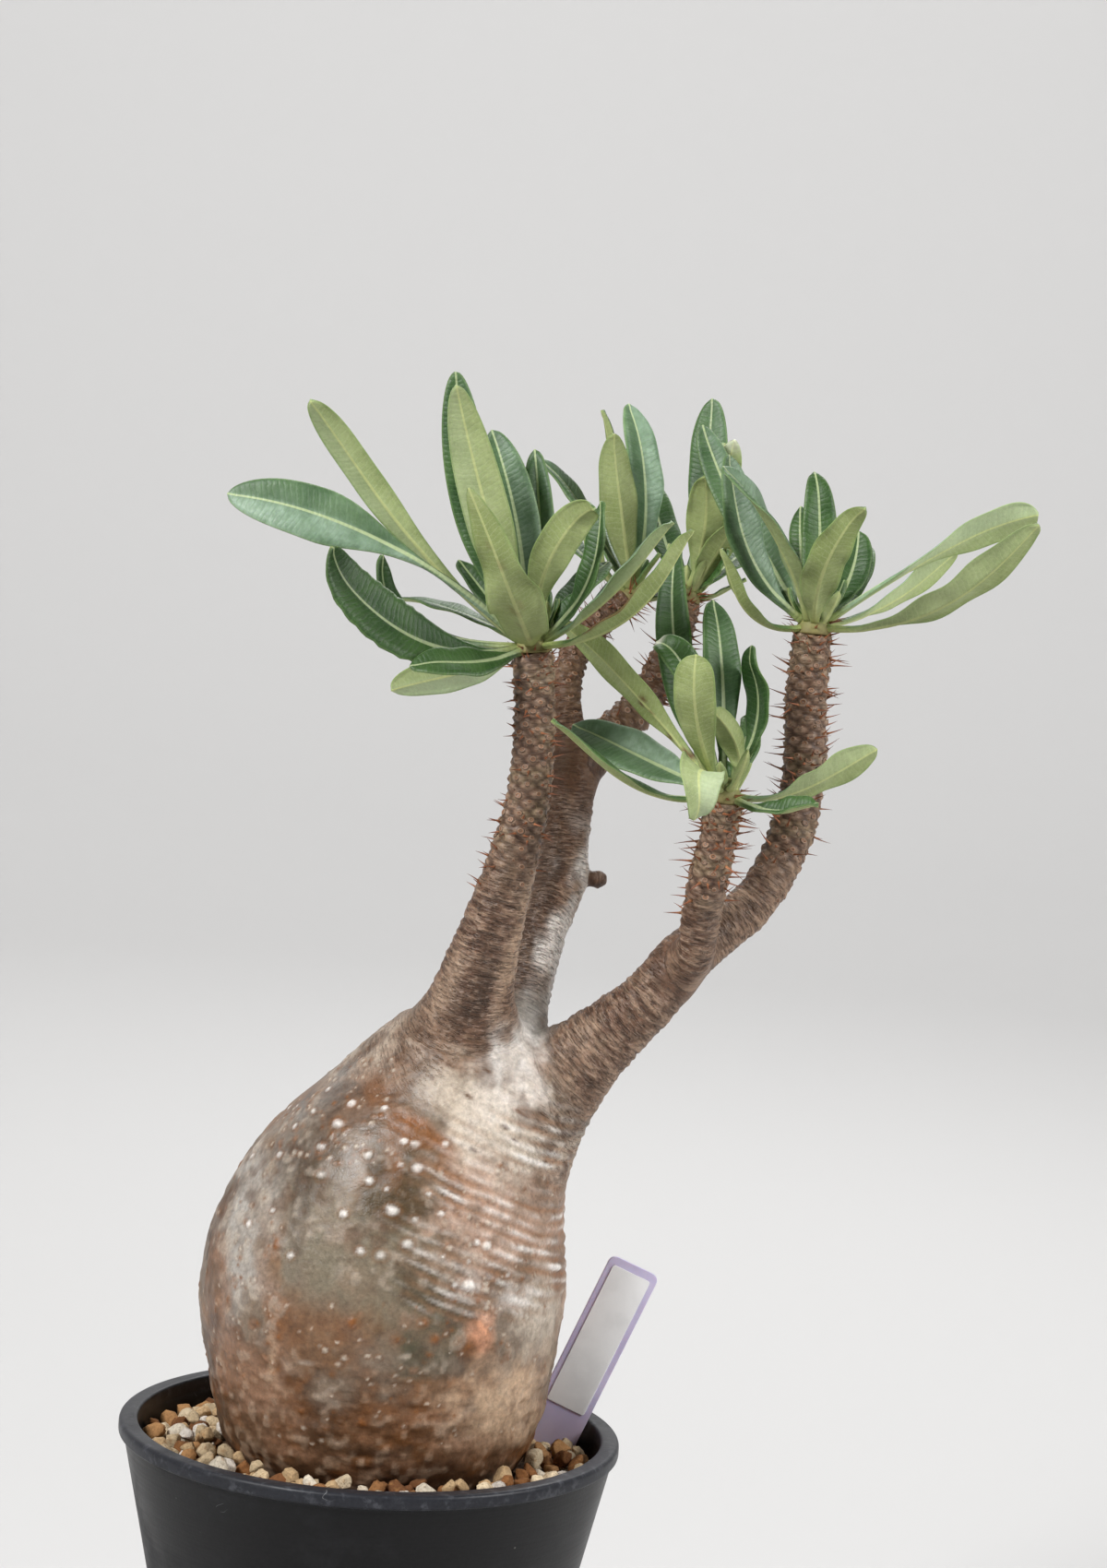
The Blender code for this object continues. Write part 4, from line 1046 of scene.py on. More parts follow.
def makeBarkMaterial():
    shader = Shader("barkSkin")
    colour = shader.attribute("barkColour").outputs["Color"]
    ringed, smooth, knobby = shader.parts(shader.attribute("barkMask").outputs["Color"])[:3]
    place = shader.objectPlace()
    stemPlace = shader.attribute("stemPlace").outputs["Vector"]
    # Short marks across the stem, about 2 mm wide and half a millimetre high, and finer cracks
    dash = shader.noise(shader.vector("MULTIPLY", stemPlace, (0.6, 0.6, 1.9)), 1.0, 2.0, 0.55)
    crack = shader.noise(shader.vector("MULTIPLY", stemPlace, (0.34, 0.34, 2.3)), 1.0, 2.0, 0.55)
    ringed = shader.times(ringed, shader.math("MULTIPLY_ADD", knobby, -0.65, 1.0))
    patchy = shader.noise(place, 240.0, 3.0, 0.6)
    grain = shader.noise(place, 2600.0, 2.0, 0.6)
    tint, fine = shader.speckle(colour, place, 900.0, 1.3)
    pale = shader.ramp(shader.voronoi(place, 620.0), 0.22, 0.1)
    pale = shader.times(pale, shader.ramp(patchy, 0.54, 0.68))
    dark = shader.ramp(shader.noise(place, 430.0, 3.0, 0.7), 0.42, 0.3)
    tint = shader.over(tint, pale, 0.14, (0.46, 0.38, 0.31))
    tint = shader.over(tint, dark, 0.18, (0.06, 0.032, 0.018))
    # Painted highlight on the marks' crests and painted shade in their hollows
    paintedCrestHighlight = shader.times(shader.ramp(dash, 0.52, 0.7), ringed)
    paintedTroughShade = shader.times(shader.ramp(dash, 0.47, 0.33), ringed)
    lines = shader.times(shader.ramp(crack, 0.41, 0.35), ringed)
    tint = shader.over(tint, paintedCrestHighlight, 0.3, (0.46, 0.33, 0.25))
    tint = shader.over(tint, paintedTroughShade, 0.36, (0.055, 0.026, 0.013))
    tint = shader.over(tint, lines, 0.5, (0.035, 0.016, 0.008))
    ridge = shader.math("ADD", dash, shader.ramp(crack, 0.35, 0.47))
    rough = shader.math("MULTIPLY_ADD", fine, 0.3, 0.36)
    rough = shader.math("SUBTRACT", rough, shader.times(smooth, 0.12))
    normal = shader.bump(shader.times(ridge, ringed), 0.9, 0.00055)
    normal = shader.bump(fine, 0.4, 0.0003, normal)
    normal = shader.bump(patchy, 0.4, 0.0006, normal)
    normal = shader.bump(grain, 0.25, 0.0001, normal)
    shader.set({"Specular IOR Level": 0.46, "Subsurface Weight": 0.03, "Subsurface Scale": 0.002})
    shader.connect(tint, normal, rough)
    return shader.material


# Spines

spineLook = {
    "sides": 6,
    "rows": 5,
    "thickness": (0.22, 0.33),
    "scarRadius": (0.4, 0.58),
    "scarTone": (0.7, 1.15),
    "scarSides": 8,
    "pitRadius": (0.24, 0.36),
    "pitTone": (0.55, 0.95),
    "pitSides": 6,
    "pitAside": 0.95,
    "headCount": 30,
    "headThickness": (0.22, 0.32),
    "base": (0.3, 0.105, 0.042),
    "tip": (0.13, 0.035, 0.016),
    "pale": (0.42, 0.24, 0.12),
    "seed": 23,
}


def spineArrays(root, direction, length, thickness, bend):
    shares = np.linspace(0, 1, spineLook["rows"])
    side = unit(np.cross(direction, [0.1, 0.2, 1.0]))
    lift = np.cross(side, direction)
    points = []
    for share in shares:
        centre = root + direction * (length * share) + lift * (bend * length * share**2)
        size = thickness * (1 - share * 0.93) * (1.45 - 0.45 * min(1, share * 4))
        for step in range(spineLook["sides"]):
            turn = math.tau * step / spineLook["sides"]
            points.append(centre + (side * math.cos(turn) + lift * math.sin(turn)) * size)
    return np.array(points), shares.repeat(spineLook["sides"])


# A leaf's scar or a spine's socket: a small dish with a raised rim
scarRings = [
    (1.6, -0.35, (0.13, 0.08, 0.05)),
    (1.1, 0.22, (0.26, 0.17, 0.115)),
    (0.8, 0.24, (0.24, 0.11, 0.05)),
    (0.5, 0.0, (0.12, 0.042, 0.016)),
    (0.18, -0.15, (0.015, 0.006, 0.004)),
]


def makeSpines(material, tree):
    draw = random.Random(spineLook["seed"])
    points = []
    faces = []
    colours = []
    start = 0

    def addSpine(root, direction, length, thickness, dark):
        nonlocal start
        found, shares = spineArrays(root, direction, length, thickness, draw.uniform(-0.12, 0.2))
        points.append(found)
        faces.extend(loftFaces(spineLook["rows"], spineLook["sides"], start))
        start += len(found)
        tone = draw.uniform(0.7, 1.25)
        base, tip, pale = (np.array(spineLook[name]) * tone for name in ("base", "tip", "pale"))
        mixed = base + (tip - base) * (shares[:, None] ** 1.3)
        mixed = mixed + (pale - mixed) * (smoothstep(0.25, 0.0, shares)[:, None] * 0.6)
        # Spines on the back stems are painted darker, as painted shade
        colours.append(mixed * (0.7 if dark else 1))

    def addScar(kind, hit, normal, along):
        nonlocal start
        radius = draw.uniform(*spineLook[kind + "Radius"]) * mm
        tone = draw.uniform(*spineLook[kind + "Tone"])
        sides = spineLook[kind + "Sides"]
        up = unit(along - normal * normal.dot(along))
        side = np.cross(up, normal)
        for reach, rise, colour in scarRings:
            turns = np.arange(sides) * math.tau / sides
            ring = hit + (np.cos(turns)[:, None] * side * 1.2 + np.sin(turns)[:, None] * up) * radius * reach
            points.append(ring + normal * radius * rise * 0.75)
            colours.append(np.tile(colour, (sides, 1)) * tone)
        faces.extend(loftFaces(len(scarRings), sides, start))
        start += len(scarRings) * sides

    def surfaceAt(shape, row, angle):
        outward = shape["across"][row] * math.cos(angle) + shape["out"][row] * math.sin(angle)
        origin = shape["centre"][row] + outward * (shape["radius"][row] + 0.003)
        hit, normal = tree.ray_cast(Vector(origin), Vector(-outward), 0.0055)[:2]
        return (np.array(hit), np.array(normal), outward) if hit else None

    step = bodyLook["scarStep"] * mm
    for name, habit in stemHabit.items():
        if not habit["full"]:
            continue
        shape = stems[name]
        total = shape["length"][-1]
        number = int(total * min(habit["share"], habit["knobs"][0]) / step)
        while number * step < total * 0.99:
            length = number * step
            turn = number * goldenAngle
            share = length / total
            fullness = habit["full"] * smoothstep(habit["share"], 1, share) ** 0.6 * 0.8 + 0.03
            row = int(np.searchsorted(shape["length"], length).clip(0, len(shape["length"]) - 1))
            number += 1
            along = shape["along"][row]
            knobby = smoothstep(*habit["knobs"], share)
            found = surfaceAt(shape, row, turn)
            if not found:
                continue
            if draw.random() < knobby * 0.85:
                addScar("scar", found[0], found[1], along)
            carries = draw.random() < fullness
            for lean in (-1, 1):
                aside = lean * spineLook["pitAside"] * mm / shape["radius"][row]
                below = int(np.clip(row - 1, 0, len(shape["length"]) - 1))
                found = surfaceAt(shape, below, turn + aside)
                if not found:
                    continue
                hit, normal, outward = found
                if draw.random() < knobby * 0.5:
                    addScar("pit", hit, normal, along)
                if carries and draw.random() < 0.85:
                    around = np.cross(along, outward)
                    direction = outward + around * lean * draw.uniform(0.05, 0.5)
                    direction = direction + along * draw.uniform(-0.25, 0.45)
                    size = draw.uniform(*habit["spines"]) * mm * (0.75 + 0.4 * share)
                    thickness = draw.uniform(*spineLook["thickness"]) * mm
                    addSpine(hit - normal * 0.0003, unit(direction), size, thickness, name.startswith("back"))

    # Reddish ones stand among the leaf stalks of each head
    for name in heads:
        shape = stems[name]
        centre, along = shape["centre"][-1], shape["along"][-1]
        for number in range(spineLook["headCount"]):
            angle = number * goldenAngle
            outward = shape["across"][-1] * math.cos(angle) + shape["out"][-1] * math.sin(angle)
            rise = draw.uniform(-3, 4) * mm
            root = centre + along * rise + outward * shape["radius"][-1] * 0.88
            direction = unit(outward + along * draw.uniform(0.0, 0.8))
            size = draw.uniform(*stemHabit[name]["spines"]) * mm
            thickness = draw.uniform(*spineLook["headThickness"]) * mm
            addSpine(root, direction, size * 0.95, thickness, False)
    mesh = meshFrom("spines", np.vstack(points), faces)
    addColour(mesh, "spineColour", np.vstack(colours))
    addPiece("spines", mesh, material, ["plant_body"])
    print("spines", sum(len(face.vertices) - 2 for face in mesh.polygons), "triangles", flush=True)


def makeSpineMaterial():
    shader = Shader("spine")
    colour = shader.attribute("spineColour").outputs["Color"]
    tint, grain = shader.speckle(colour, shader.objectPlace(), 1500.0, 1.0)
    shader.set({"Roughness": 0.5})
    shader.connect(tint, shader.bump(grain, 0.2, 0.0002))
    return shader.material


# Leaves

# Each leaf is (middle of its midrib, its tip, width, widest, roll, twist, habits): both points in mm
# from the head's centre, widest as a share of the length, roll and twist in degrees. The habits:
# fold is the blade's V in degrees, and curl how far the tip turns down from curlFrom on; base and
# blunt shape the blade towards its stalk and its tip; wave, waves and waveFrom are the margin's
# height, count and reach; two habits give a painted bluish sheen and the half that shows more of
# it; tone is light or dark; spots, burnt and whiteTip are marks.
heads = {
    "front_left": [
        ((-35, -8, 23.5), (-72, -9, 33.3), 13.5, 0.72, 72, 0,
         {"paintedSheen": 1, "fold": 9, "wave": 0.03, "base": 2.2, "blunt": 1.8, "sheenHalf": -1}),
        ((-30, -5, 24.5), (-54, -14, 56), 7.6, 0.72, -60, 0,
         {"fold": 10, "tone": 1.1, "curl": 20, "paintedSheen": 0.55, "base": 0.9, "blunt": 3.4}),
        ((-27.5, -10, 1.5), (-50, -14, 20), 14.5, 0.62, 60, 0,
         {"wave": 0.03, "waves": 13, "waveFrom": 3, "curl": -40, "curlFrom": 0.8, "tone": 0.75}),
        ((-30, 14, 4), (-37, 16, 19), 7, 0.6, 20, 0, {"fold": 30}),
        ((-17, 18, 7), (-34, 32, 10), 10, 0.62, 0, 0, {}),
        ((-15, 16, -6), (-33, 30, -12), 10, 0.62, -50, 0, {"tone": 1.4, "paintedSheen": 1, "blunt": 3}),
        ((-13, -12, -2.5), (-27, -20, -2), 9.5, 0.6, 40, 0, {"curl": 40, "tone": 0.8}),
        ((-14.7, 8, 28), (-23, 8, 63.5), 11, 0.6, 75, 0, {"paintedSheen": 0.15}),
        ((-11, -10, 27), (-22, -12, 60.5), 10.8, 0.58, -70, 0, {"tone": 1.0, "curl": 25, "paintedSheen": 0.45}),
        ((-5, 2, 27), (-13, 6, 51), 11, 0.58, 70, 0, {"paintedSheen": 0.45}),
        ((0, 8, 25), (-3, 12, 47), 8, 0.55, 30, 0, {"fold": 35, "paintedSheen": 0.3}),
        ((-5.5, -26, 14), (-16, -30, 37), 12.8, 0.38, -20, 0,
         {"wave": 0.17, "waves": 2.4, "spots": 0.3, "tone": 0.9, "blunt": 1.25}),
        ((2, -16, 22), (12, -16, 37), 9.6, 0.6, 30, 0, {"curl": 110, "curlFrom": 0.78, "tone": 1}),
        ((12, -8, 18), (13, -6, 36), 8, 0.6, -60, 0, {"fold": 32}),
        ((18, -10, 16), (29, -12, 33), 10.5, 0.6, -15, 0, {"fold": 45, "paintedSheen": 0.5}),
        ((22, -20, 11), (33, -20, 31), 10.5, 0.55, -12, 0, {"fold": 46, "burnt": 0.8, "wave": 0.05}),
        ((7, 0, 9), (10, 2, 15), 6, 0.6, -30, 0, {"fold": 40}),
        ((-11, 8, 11), (-19, 12, 20), 6, 0.6, 30, 0, {"fold": 30}),
        ((8, 14, 13), (16, 25, 22), 9, 0.62, 0, 0, {}),
    ],
    "front_right": [
        ((-8, -18, 18), (-10, -24, 34), 9.5, 0.66, -15, 0,
         {"tone": 1, "curl": -20, "blunt": 4, "base": 0.85}),
        ((-19, 11, 20), (-39, 24, 38), 11, 0.66, -60, 0, {"spots": 0.9, "tone": 1.3}),
        ((-18, 12, 7), (-36, 22, 14), 12.5, 0.6, 40, 0, {"paintedSheen": 0.85, "wave": 0.04, "tone": 1.1}),
        ((-21, -6, 2), (-40, -8, 17), 8, 0.62, 5, 0, {"fold": 28}),
        ((-7, -15, 7.5), (-5, -21, -3), 12, 0.5, 190, 30,
         {"paintedSheen": 1, "tone": 1.2, "curl": -75, "fold": -24, "blunt": 1.8}),
        ((-2, 4, 26), (-5, 12, 46), 9.5, 0.6, 0, 0, {"paintedSheen": 0.15}),
        ((7, 4, 21), (2, 0, 35), 9.5, 0.6, -105, 0, {"curl": 70, "curlFrom": 0.82}),
        ((5, 12, 11), (5, 18, 19), 6, 0.6, -30, 0, {"fold": 35}),
        ((2, -2, 13), (-5, -10, 22), 7, 0.6, -60, 0, {"fold": 45}),
        ((16, -2, 3), (34, 4, 14), 9.5, 0.68, -10, 90, {"paintedSheen": 0.4, "wave": 0.07}),
        ((12, -10, -1), (20, -14, 3), 8, 0.6, -30, 0, {"fold": 45, "curl": 40}),
        ((-9, -2, 26), (-18, 0, 37), 9, 0.62, 60, 0,
         {"whiteTip": 0.6, "curl": 55, "curlFrom": 0.75, "fold": 30}),
        ((-12, 8, 26), (-16, 22, 57), 9, 0.6, 60, 0, {}),
    ],
    "right": [
        ((-17, -4, 18), (-23, -6, 41), 12, 0.6, 60, 0, {"paintedSheen": 0.7, "fold": 20}),
        ((-10, -14, 21), (-24, -20, 39), 12, 0.62, -20, 80, {"paintedSheen": 0.65, "fold": 25}),
        ((-16, -8, 4), (-23, -12, 19), 7, 0.6, 0, 0, {"fold": 30}),
        ((-11, 4, 16), (-19, 8, 30), 10, 0.6, 60, 0, {"paintedSheen": 0.3}),
        ((-3, 14, 17), (-4, 22, 30), 6, 0.6, 40, 0, {}),
        ((1, 10, 19), (-1, 14, 40), 9, 0.5, 0, 0, {"curl": 60, "curlFrom": 0.8}),
        ((0.5, -16, 17), (8, -20, 32), 9.8, 0.46, 15, 0,
         {"curl": 50, "curlFrom": 0.8, "tone": 0.95, "wave": 0.08, "blunt": 1.8}),
        ((8.5, 10, 13), (10.5, 16, 25), 8.5, 0.6, -20, 0, {}),
        ((25.5, 2, 19.5), (51, 4, 34), 10.5, 0.74, -15, 85,
         {"tone": 1.4, "fold": 8, "curl": 25, "paintedSheen": 0.9, "blunt": 4.2}),
        ((20, 12, 9), (34, 18, 22), 10, 0.66, 20, 50, {"tone": 1.3, "paintedSheen": 0.6}),
        ((29, -12, 8.5), (49, -18, 30), 11.5, 0.58, 14, 34, {"fold": 26, "wave": 0.06, "paintedSheen": 0.3}),
        ((-19, 18, 27), (-29, 26, 48), 8, 0.6, 40, 0, {"paintedSheen": 0.5}),
        ((8, 20, 9), (14, 38, 22), 10, 0.62, 0, 0, {}),
    ],
    "back_right": [
        ((3, 5, 26), (3, 10, 51), 10, 0.66, 0, 0, {"paintedSheen": 0.3}),
        ((4, 2, 22), (6, 4, 40), 8, 0.6, 70, 0, {"paintedSheen": 1, "tone": 1.25}),
        ((5, -6, 21), (9, -10, 41), 8, 0.6, 60, 0, {"paintedSheen": 1, "tone": 1.25, "whiteTip": 0.4}),
        ((3, -8, 18), (2, -14, 32), 9.5, 0.6, 0, 0, {"tone": 1.1}),
        ((5, -6, 10), (10, -12, 21), 8, 0.6, 20, 0, {}),
        ((6, -4, 8), (9, -8, 14), 8, 0.6, -60, 0, {}),
        ((7, 0, 2), (14, -2, 7), 6, 0.6, 0, 0, {}),
        ((10, 16, 9), (22, 34, 20), 10, 0.62, 0, 0, {}),
        ((-6, 15, 14), (-12, 32, 32), 10, 0.62, 0, 0, {}),
    ],
    "back_left": [
        ((-11, -2, 20), (-23, -6, 34), 10, 0.6, 30, 0, {"paintedSheen": 0.4}),
        ((-4, 6, 23), (-8, 10, 47), 9, 0.6, -60, 0, {}),
        ((-3, -6, 21), (-7, -8, 41), 10.5, 0.58, -75, 0, {"tone": 0.9}),
        ((3, 2, 25), (-2, 4, 49), 11.5, 0.62, 0, 0, {"paintedSheen": 1, "tone": 1.35}),
        ((-9, -4, 11), (-11, -10, 23), 6, 0.6, 0, 0, {}),
        ((-14, 10, 12), (-30, 20, 26), 10, 0.62, 0, 0, {}),
        ((-2, 18, 10), (-4, 38, 20), 10, 0.62, 0, 0, {}),
    ],
}

leafLook = {
    "rows": 38,
    "columns": 13,
    "blade": 0.5,
    "petiole": 1.7,
    "petioleWidth": 2.4,
    "fold": 14,
    "margin": 34,
    "rim": 0.16,
    "midrib": 0.5,
    "groove": 0.14,
    "rootOut": 0.55,
    "rootRise": (1.0, 3.6),
    "young": 10,
    "youngWidth": (2.6, 4.2),
    "youngHabits": {"fold": 48, "tone": 1.05, "curl": -10},
    "tipRows": 12,
    "veinGap": 1.3,
}


def leafArrays(root, middle, tip, width, widest, roll, twist, habits, draw):
    rows, columns = leafLook["rows"], leafLook["columns"]
    fold = math.radians(habits.get("fold", leafLook["fold"]))
    curl = math.radians(habits.get("curl", 12))
    curlFrom = habits.get("curlFrom", 0.7)
    wave, waves = habits.get("wave", 0.035), habits.get("waves", 3)
    phase = draw.uniform(0, math.tau)
    heading = Vector((tip.x - root.x, tip.y - root.y, 0)).normalized()
    control = middle * 2 - (root + tip) / 2
    bend = math.log(0.5) / math.log(widest)
    shares = 1 - (1 - np.linspace(0, 1, rows)) ** 1.45
    place = root.copy()
    before = None
    traveled = 0
    points, leafPlace, kind = [], [], []
    for number, share in enumerate(shares):
        centre = root * (1 - share) ** 2 + control * 2 * share * (1 - share) + tip * share**2
        along = ((control - root) * (1 - share) + (tip - control) * share).normalized()
        side = Vector((-heading.y, heading.x, 0))
        side = (side - along * side.dot(along)).normalized()
        side.rotate(Quaternion(along, -math.radians(roll + twist * share)))
        if share > curlFrom:
            turn = curl * ((share - curlFrom) / (1 - curlFrom)) ** 1.4
            along.rotate(Quaternion(side, turn))
        if before is not None:
            step = (centre - before).length
            place = place + along * step
            traveled += step
        before = centre
        face = along.cross(side)
        spot = min(share, 0.9995) ** bend
        if spot < 0.5:
            blade = math.sin(math.pi * spot) ** habits.get("base", 1.1)
        else:
            blade = (1 - ((spot - 0.5) * 2) ** habits.get("blunt", 2.3)) ** 0.56
        stalk = leafLook["petioleWidth"] / 2 * mm * max(0, 1 - share * 1.3)
        half = max(stalk, width / 2 * blade, 0.3 * mm)
        bladeShare = float(smoothstep(0.9, 2.2, half / (leafLook["petioleWidth"] / 2 * mm)))
        # The section is stepped outwards from the midrib, turning up with the fold and down at the margin
        us = np.linspace(0, 1, columns // 2 + 1)
        marginTurn = math.radians(leafLook["margin"]) * bladeShare * smoothstep(0.84, 1, us)
        angles = fold * bladeShare * (1 - us * 0.45) - marginTurn
        steps = np.diff(us, prepend=0) * half
        across = np.cumsum(np.cos(angles) * steps)
        up = np.cumsum(np.sin(angles) * steps)
        across = np.concatenate([-across[:0:-1], across])
        up = np.concatenate([up[:0:-1], up])
        u = np.concatenate([-us[:0:-1], us])
        swell = math.sin(math.pi * share) ** 0.6
        rightWave = math.sin(math.tau * waves * share + phase)
        leftWave = math.sin(math.tau * waves * share * 1.13 + phase + 2)
        edgeWave = np.where(u > 0, rightWave, leftWave)
        up = up + edgeWave * np.abs(u) ** habits.get("waveFrom", 1.7) * wave * half * 2 * swell * bladeShare
        gap = (1 - np.abs(u)) * half
        roundness = np.sqrt(np.maximum(1 - u**2, 0))
        thick = leafLook["blade"] * mm * (1 - 0.4 * np.abs(u) ** 4) * bladeShare
        thick = thick + leafLook["petiole"] * mm * (1 - 0.35 * share) * roundness * (1 - bladeShare)
        rib = np.exp(-((u * half / (0.62 * mm)) ** 2)) * bladeShare
        top = thick / 2 - rib * leafLook["groove"] * mm
        under = -thick / 2 - rib * leafLook["midrib"] * mm * (1 - share * 0.75)
        x, y, z = np.array(side), np.array(face), np.array(place)
        upper = z + across[:, None] * x + (up + top)[:, None] * y
        lower = z + across[:, None] * x + (up + under)[:, None] * y
        rim = leafLook["rim"] * mm * min(1, half / mm)
        right = z + (across[-1] + rim) * x + up[-1] * y
        left = z + (across[0] - rim) * x + up[0] * y
        points.append(np.vstack([upper, right, lower[::-1], left]))
        uu = u * half * 1000
        ringU = np.concatenate([uu, uu[-1:], uu[::-1], uu[:1]])
        ringGap = np.concatenate([gap, [0], gap[::-1], [0]]) * 1000
        leafPlace.append(np.column_stack([ringU, np.full(len(ringU), traveled * 1000), ringGap]))
        sideUp = np.concatenate([np.ones(columns), [0.5], np.zeros(columns), [0.5]])
        tone = np.full(len(ringU), habits.get("tone", 1) / 2)
        kind.append(np.column_stack([sideUp, tone, np.full(len(ringU), share)]))
    return np.vstack(points), np.vstack(leafPlace), np.vstack(kind)


def markLeaf(leafPlace, kind, habits, draw):
    mark = np.zeros((len(kind), 3))
    share = kind[:, 2]
    if habits.get("spots"):
        longest = leafPlace[:, 1].max()
        for _ in range(9):
            spot = np.array([draw.gauss(0, 0.9), longest * draw.uniform(0.12, 0.8)])
            size = draw.uniform(0.4, 0.95)
            distance = np.hypot(leafPlace[:, 0] - spot[0], (leafPlace[:, 1] - spot[1]) * 0.6) / size
            mark[:, 0] = np.maximum(mark[:, 0], smoothstep(1.3, 0.5, distance) * habits["spots"])
    if habits.get("burnt"):
        edge = smoothstep(1.1, 0.2, leafPlace[:, 2])
        edge = edge * smoothstep(0.2, 0.3, share) * smoothstep(0.75, 0.55, share)
        mark[:, 0] = np.maximum(mark[:, 0], edge * (leafPlace[:, 0] < 0) * habits["burnt"])
    if habits.get("whiteTip"):
        mark[:, 1] = smoothstep(0.9, 0.97, share) * habits["whiteTip"]
    # The painted sheen shows on one half more than on the other
    half = smoothstep(-1.5, 1.5, leafPlace[:, 0] * habits.get("sheenHalf", 1))
    mark[:, 2] = habits.get("paintedSheen", 0) * (1 - half * 0.7)
    return mark


def makeHead(name, leaves, material):
    draw = random.Random("leaves " + name)
    shape = stems[name]
    centre, along = Vector(shape["centre"][-1]), Vector(shape["along"][-1])
    across, out, radius = Vector(shape["across"][-1]), Vector(shape["out"][-1]), shape["radius"][-1]
    points, places, kinds, marks, faces = [], [], [], [], []
    start = 0
    sides = leafLook["columns"] * 2 + 2
    # A few young leaves stand close round the growing tip, besides the leaves of the picture
    young = []
    for number in range(leafLook["young"]):
        turn = number * goldenAngle
        outward = across * math.cos(turn) + out * math.sin(turn)
        reach = draw.uniform(7, 12) + number * 0.4
        spread = 0.2 + number * 0.035
        middle = along * reach * 0.6 + outward * reach * spread
        tip = along * reach + outward * reach * spread * 1.4
        width = draw.uniform(*leafLook["youngWidth"])
        young.append((middle, tip, width, 0.5, 0, 0, leafLook["youngHabits"]))
    low, high = leafLook["rootRise"]
    for middle, tip, width, widest, roll, twist, habits in list(leaves) + young:
        middle = centre + Vector(middle) * mm
        tip = centre + Vector(tip) * mm
        steepness = (middle - centre).normalized().dot(along)
        rise = (low + (high - low) * min(1, max(0, steepness))) * mm
        outward = middle - centre
        outward = (outward - along * outward.dot(along)).normalized()
        root = centre + along * rise + outward * radius * leafLook["rootOut"]
        found, leafPlace, kind = leafArrays(root, middle, tip, width * mm, widest, roll, twist, habits, draw)
        points.append(found)
        places.append(leafPlace)
        kinds.append(kind)
        marks.append(markLeaf(leafPlace, kind, habits, draw))
        faces += loftFaces(leafLook["rows"], sides, start)
        start += len(found)
    # The green tip that the leaves stand on
    rows = leafLook["tipRows"]
    for row in range(rows):
        share = row / (rows - 1)
        spread = radius * (1 - share**2.2) ** 0.5 * (0.94 - 0.2 * share) + 0.0002
        middle = np.array(centre + along * (0.0003 + 0.0054 * share))
        ring = ringPoints(middle[None], np.array(across)[None], np.array(out)[None], [spread], sides)
        points.append(ring)
        places.append(np.tile((3.0, 1.0, 3.0), (sides, 1)))
        kinds.append(np.tile((0.0, 0.42, 0.02), (sides, 1)))
        marks.append(np.tile((0.6 - share * 0.5, 0, 0), (sides, 1)))
    faces += loftFaces(rows, sides, start)
    mesh = meshFrom("leaves_" + name, np.vstack(points), faces)
    shape = bmesh.new()
    shape.from_mesh(mesh)
    bmesh.ops.recalc_face_normals(shape, faces=shape.faces)
    # No leaf reaches past the model's own box
    low, high = cadBounds
    inside = 0.00005
    for vert in shape.verts:
        vert.co = [min(max(vert.co[i], low[i] + inside), high[i] - inside) for i in range(3)]
    shape.to_mesh(mesh)
    shape.free()
    addColour(mesh, "leafKind", np.vstack(kinds))
    addColour(mesh, "leafMark", np.vstack(marks))
    addVector(mesh, "leafPlace", np.vstack(places))
    addPiece("leaves_" + name, mesh, material, ["rosette_" + name])
    print("leaves", name, len(mesh.polygons) * 2, "triangles", flush=True)


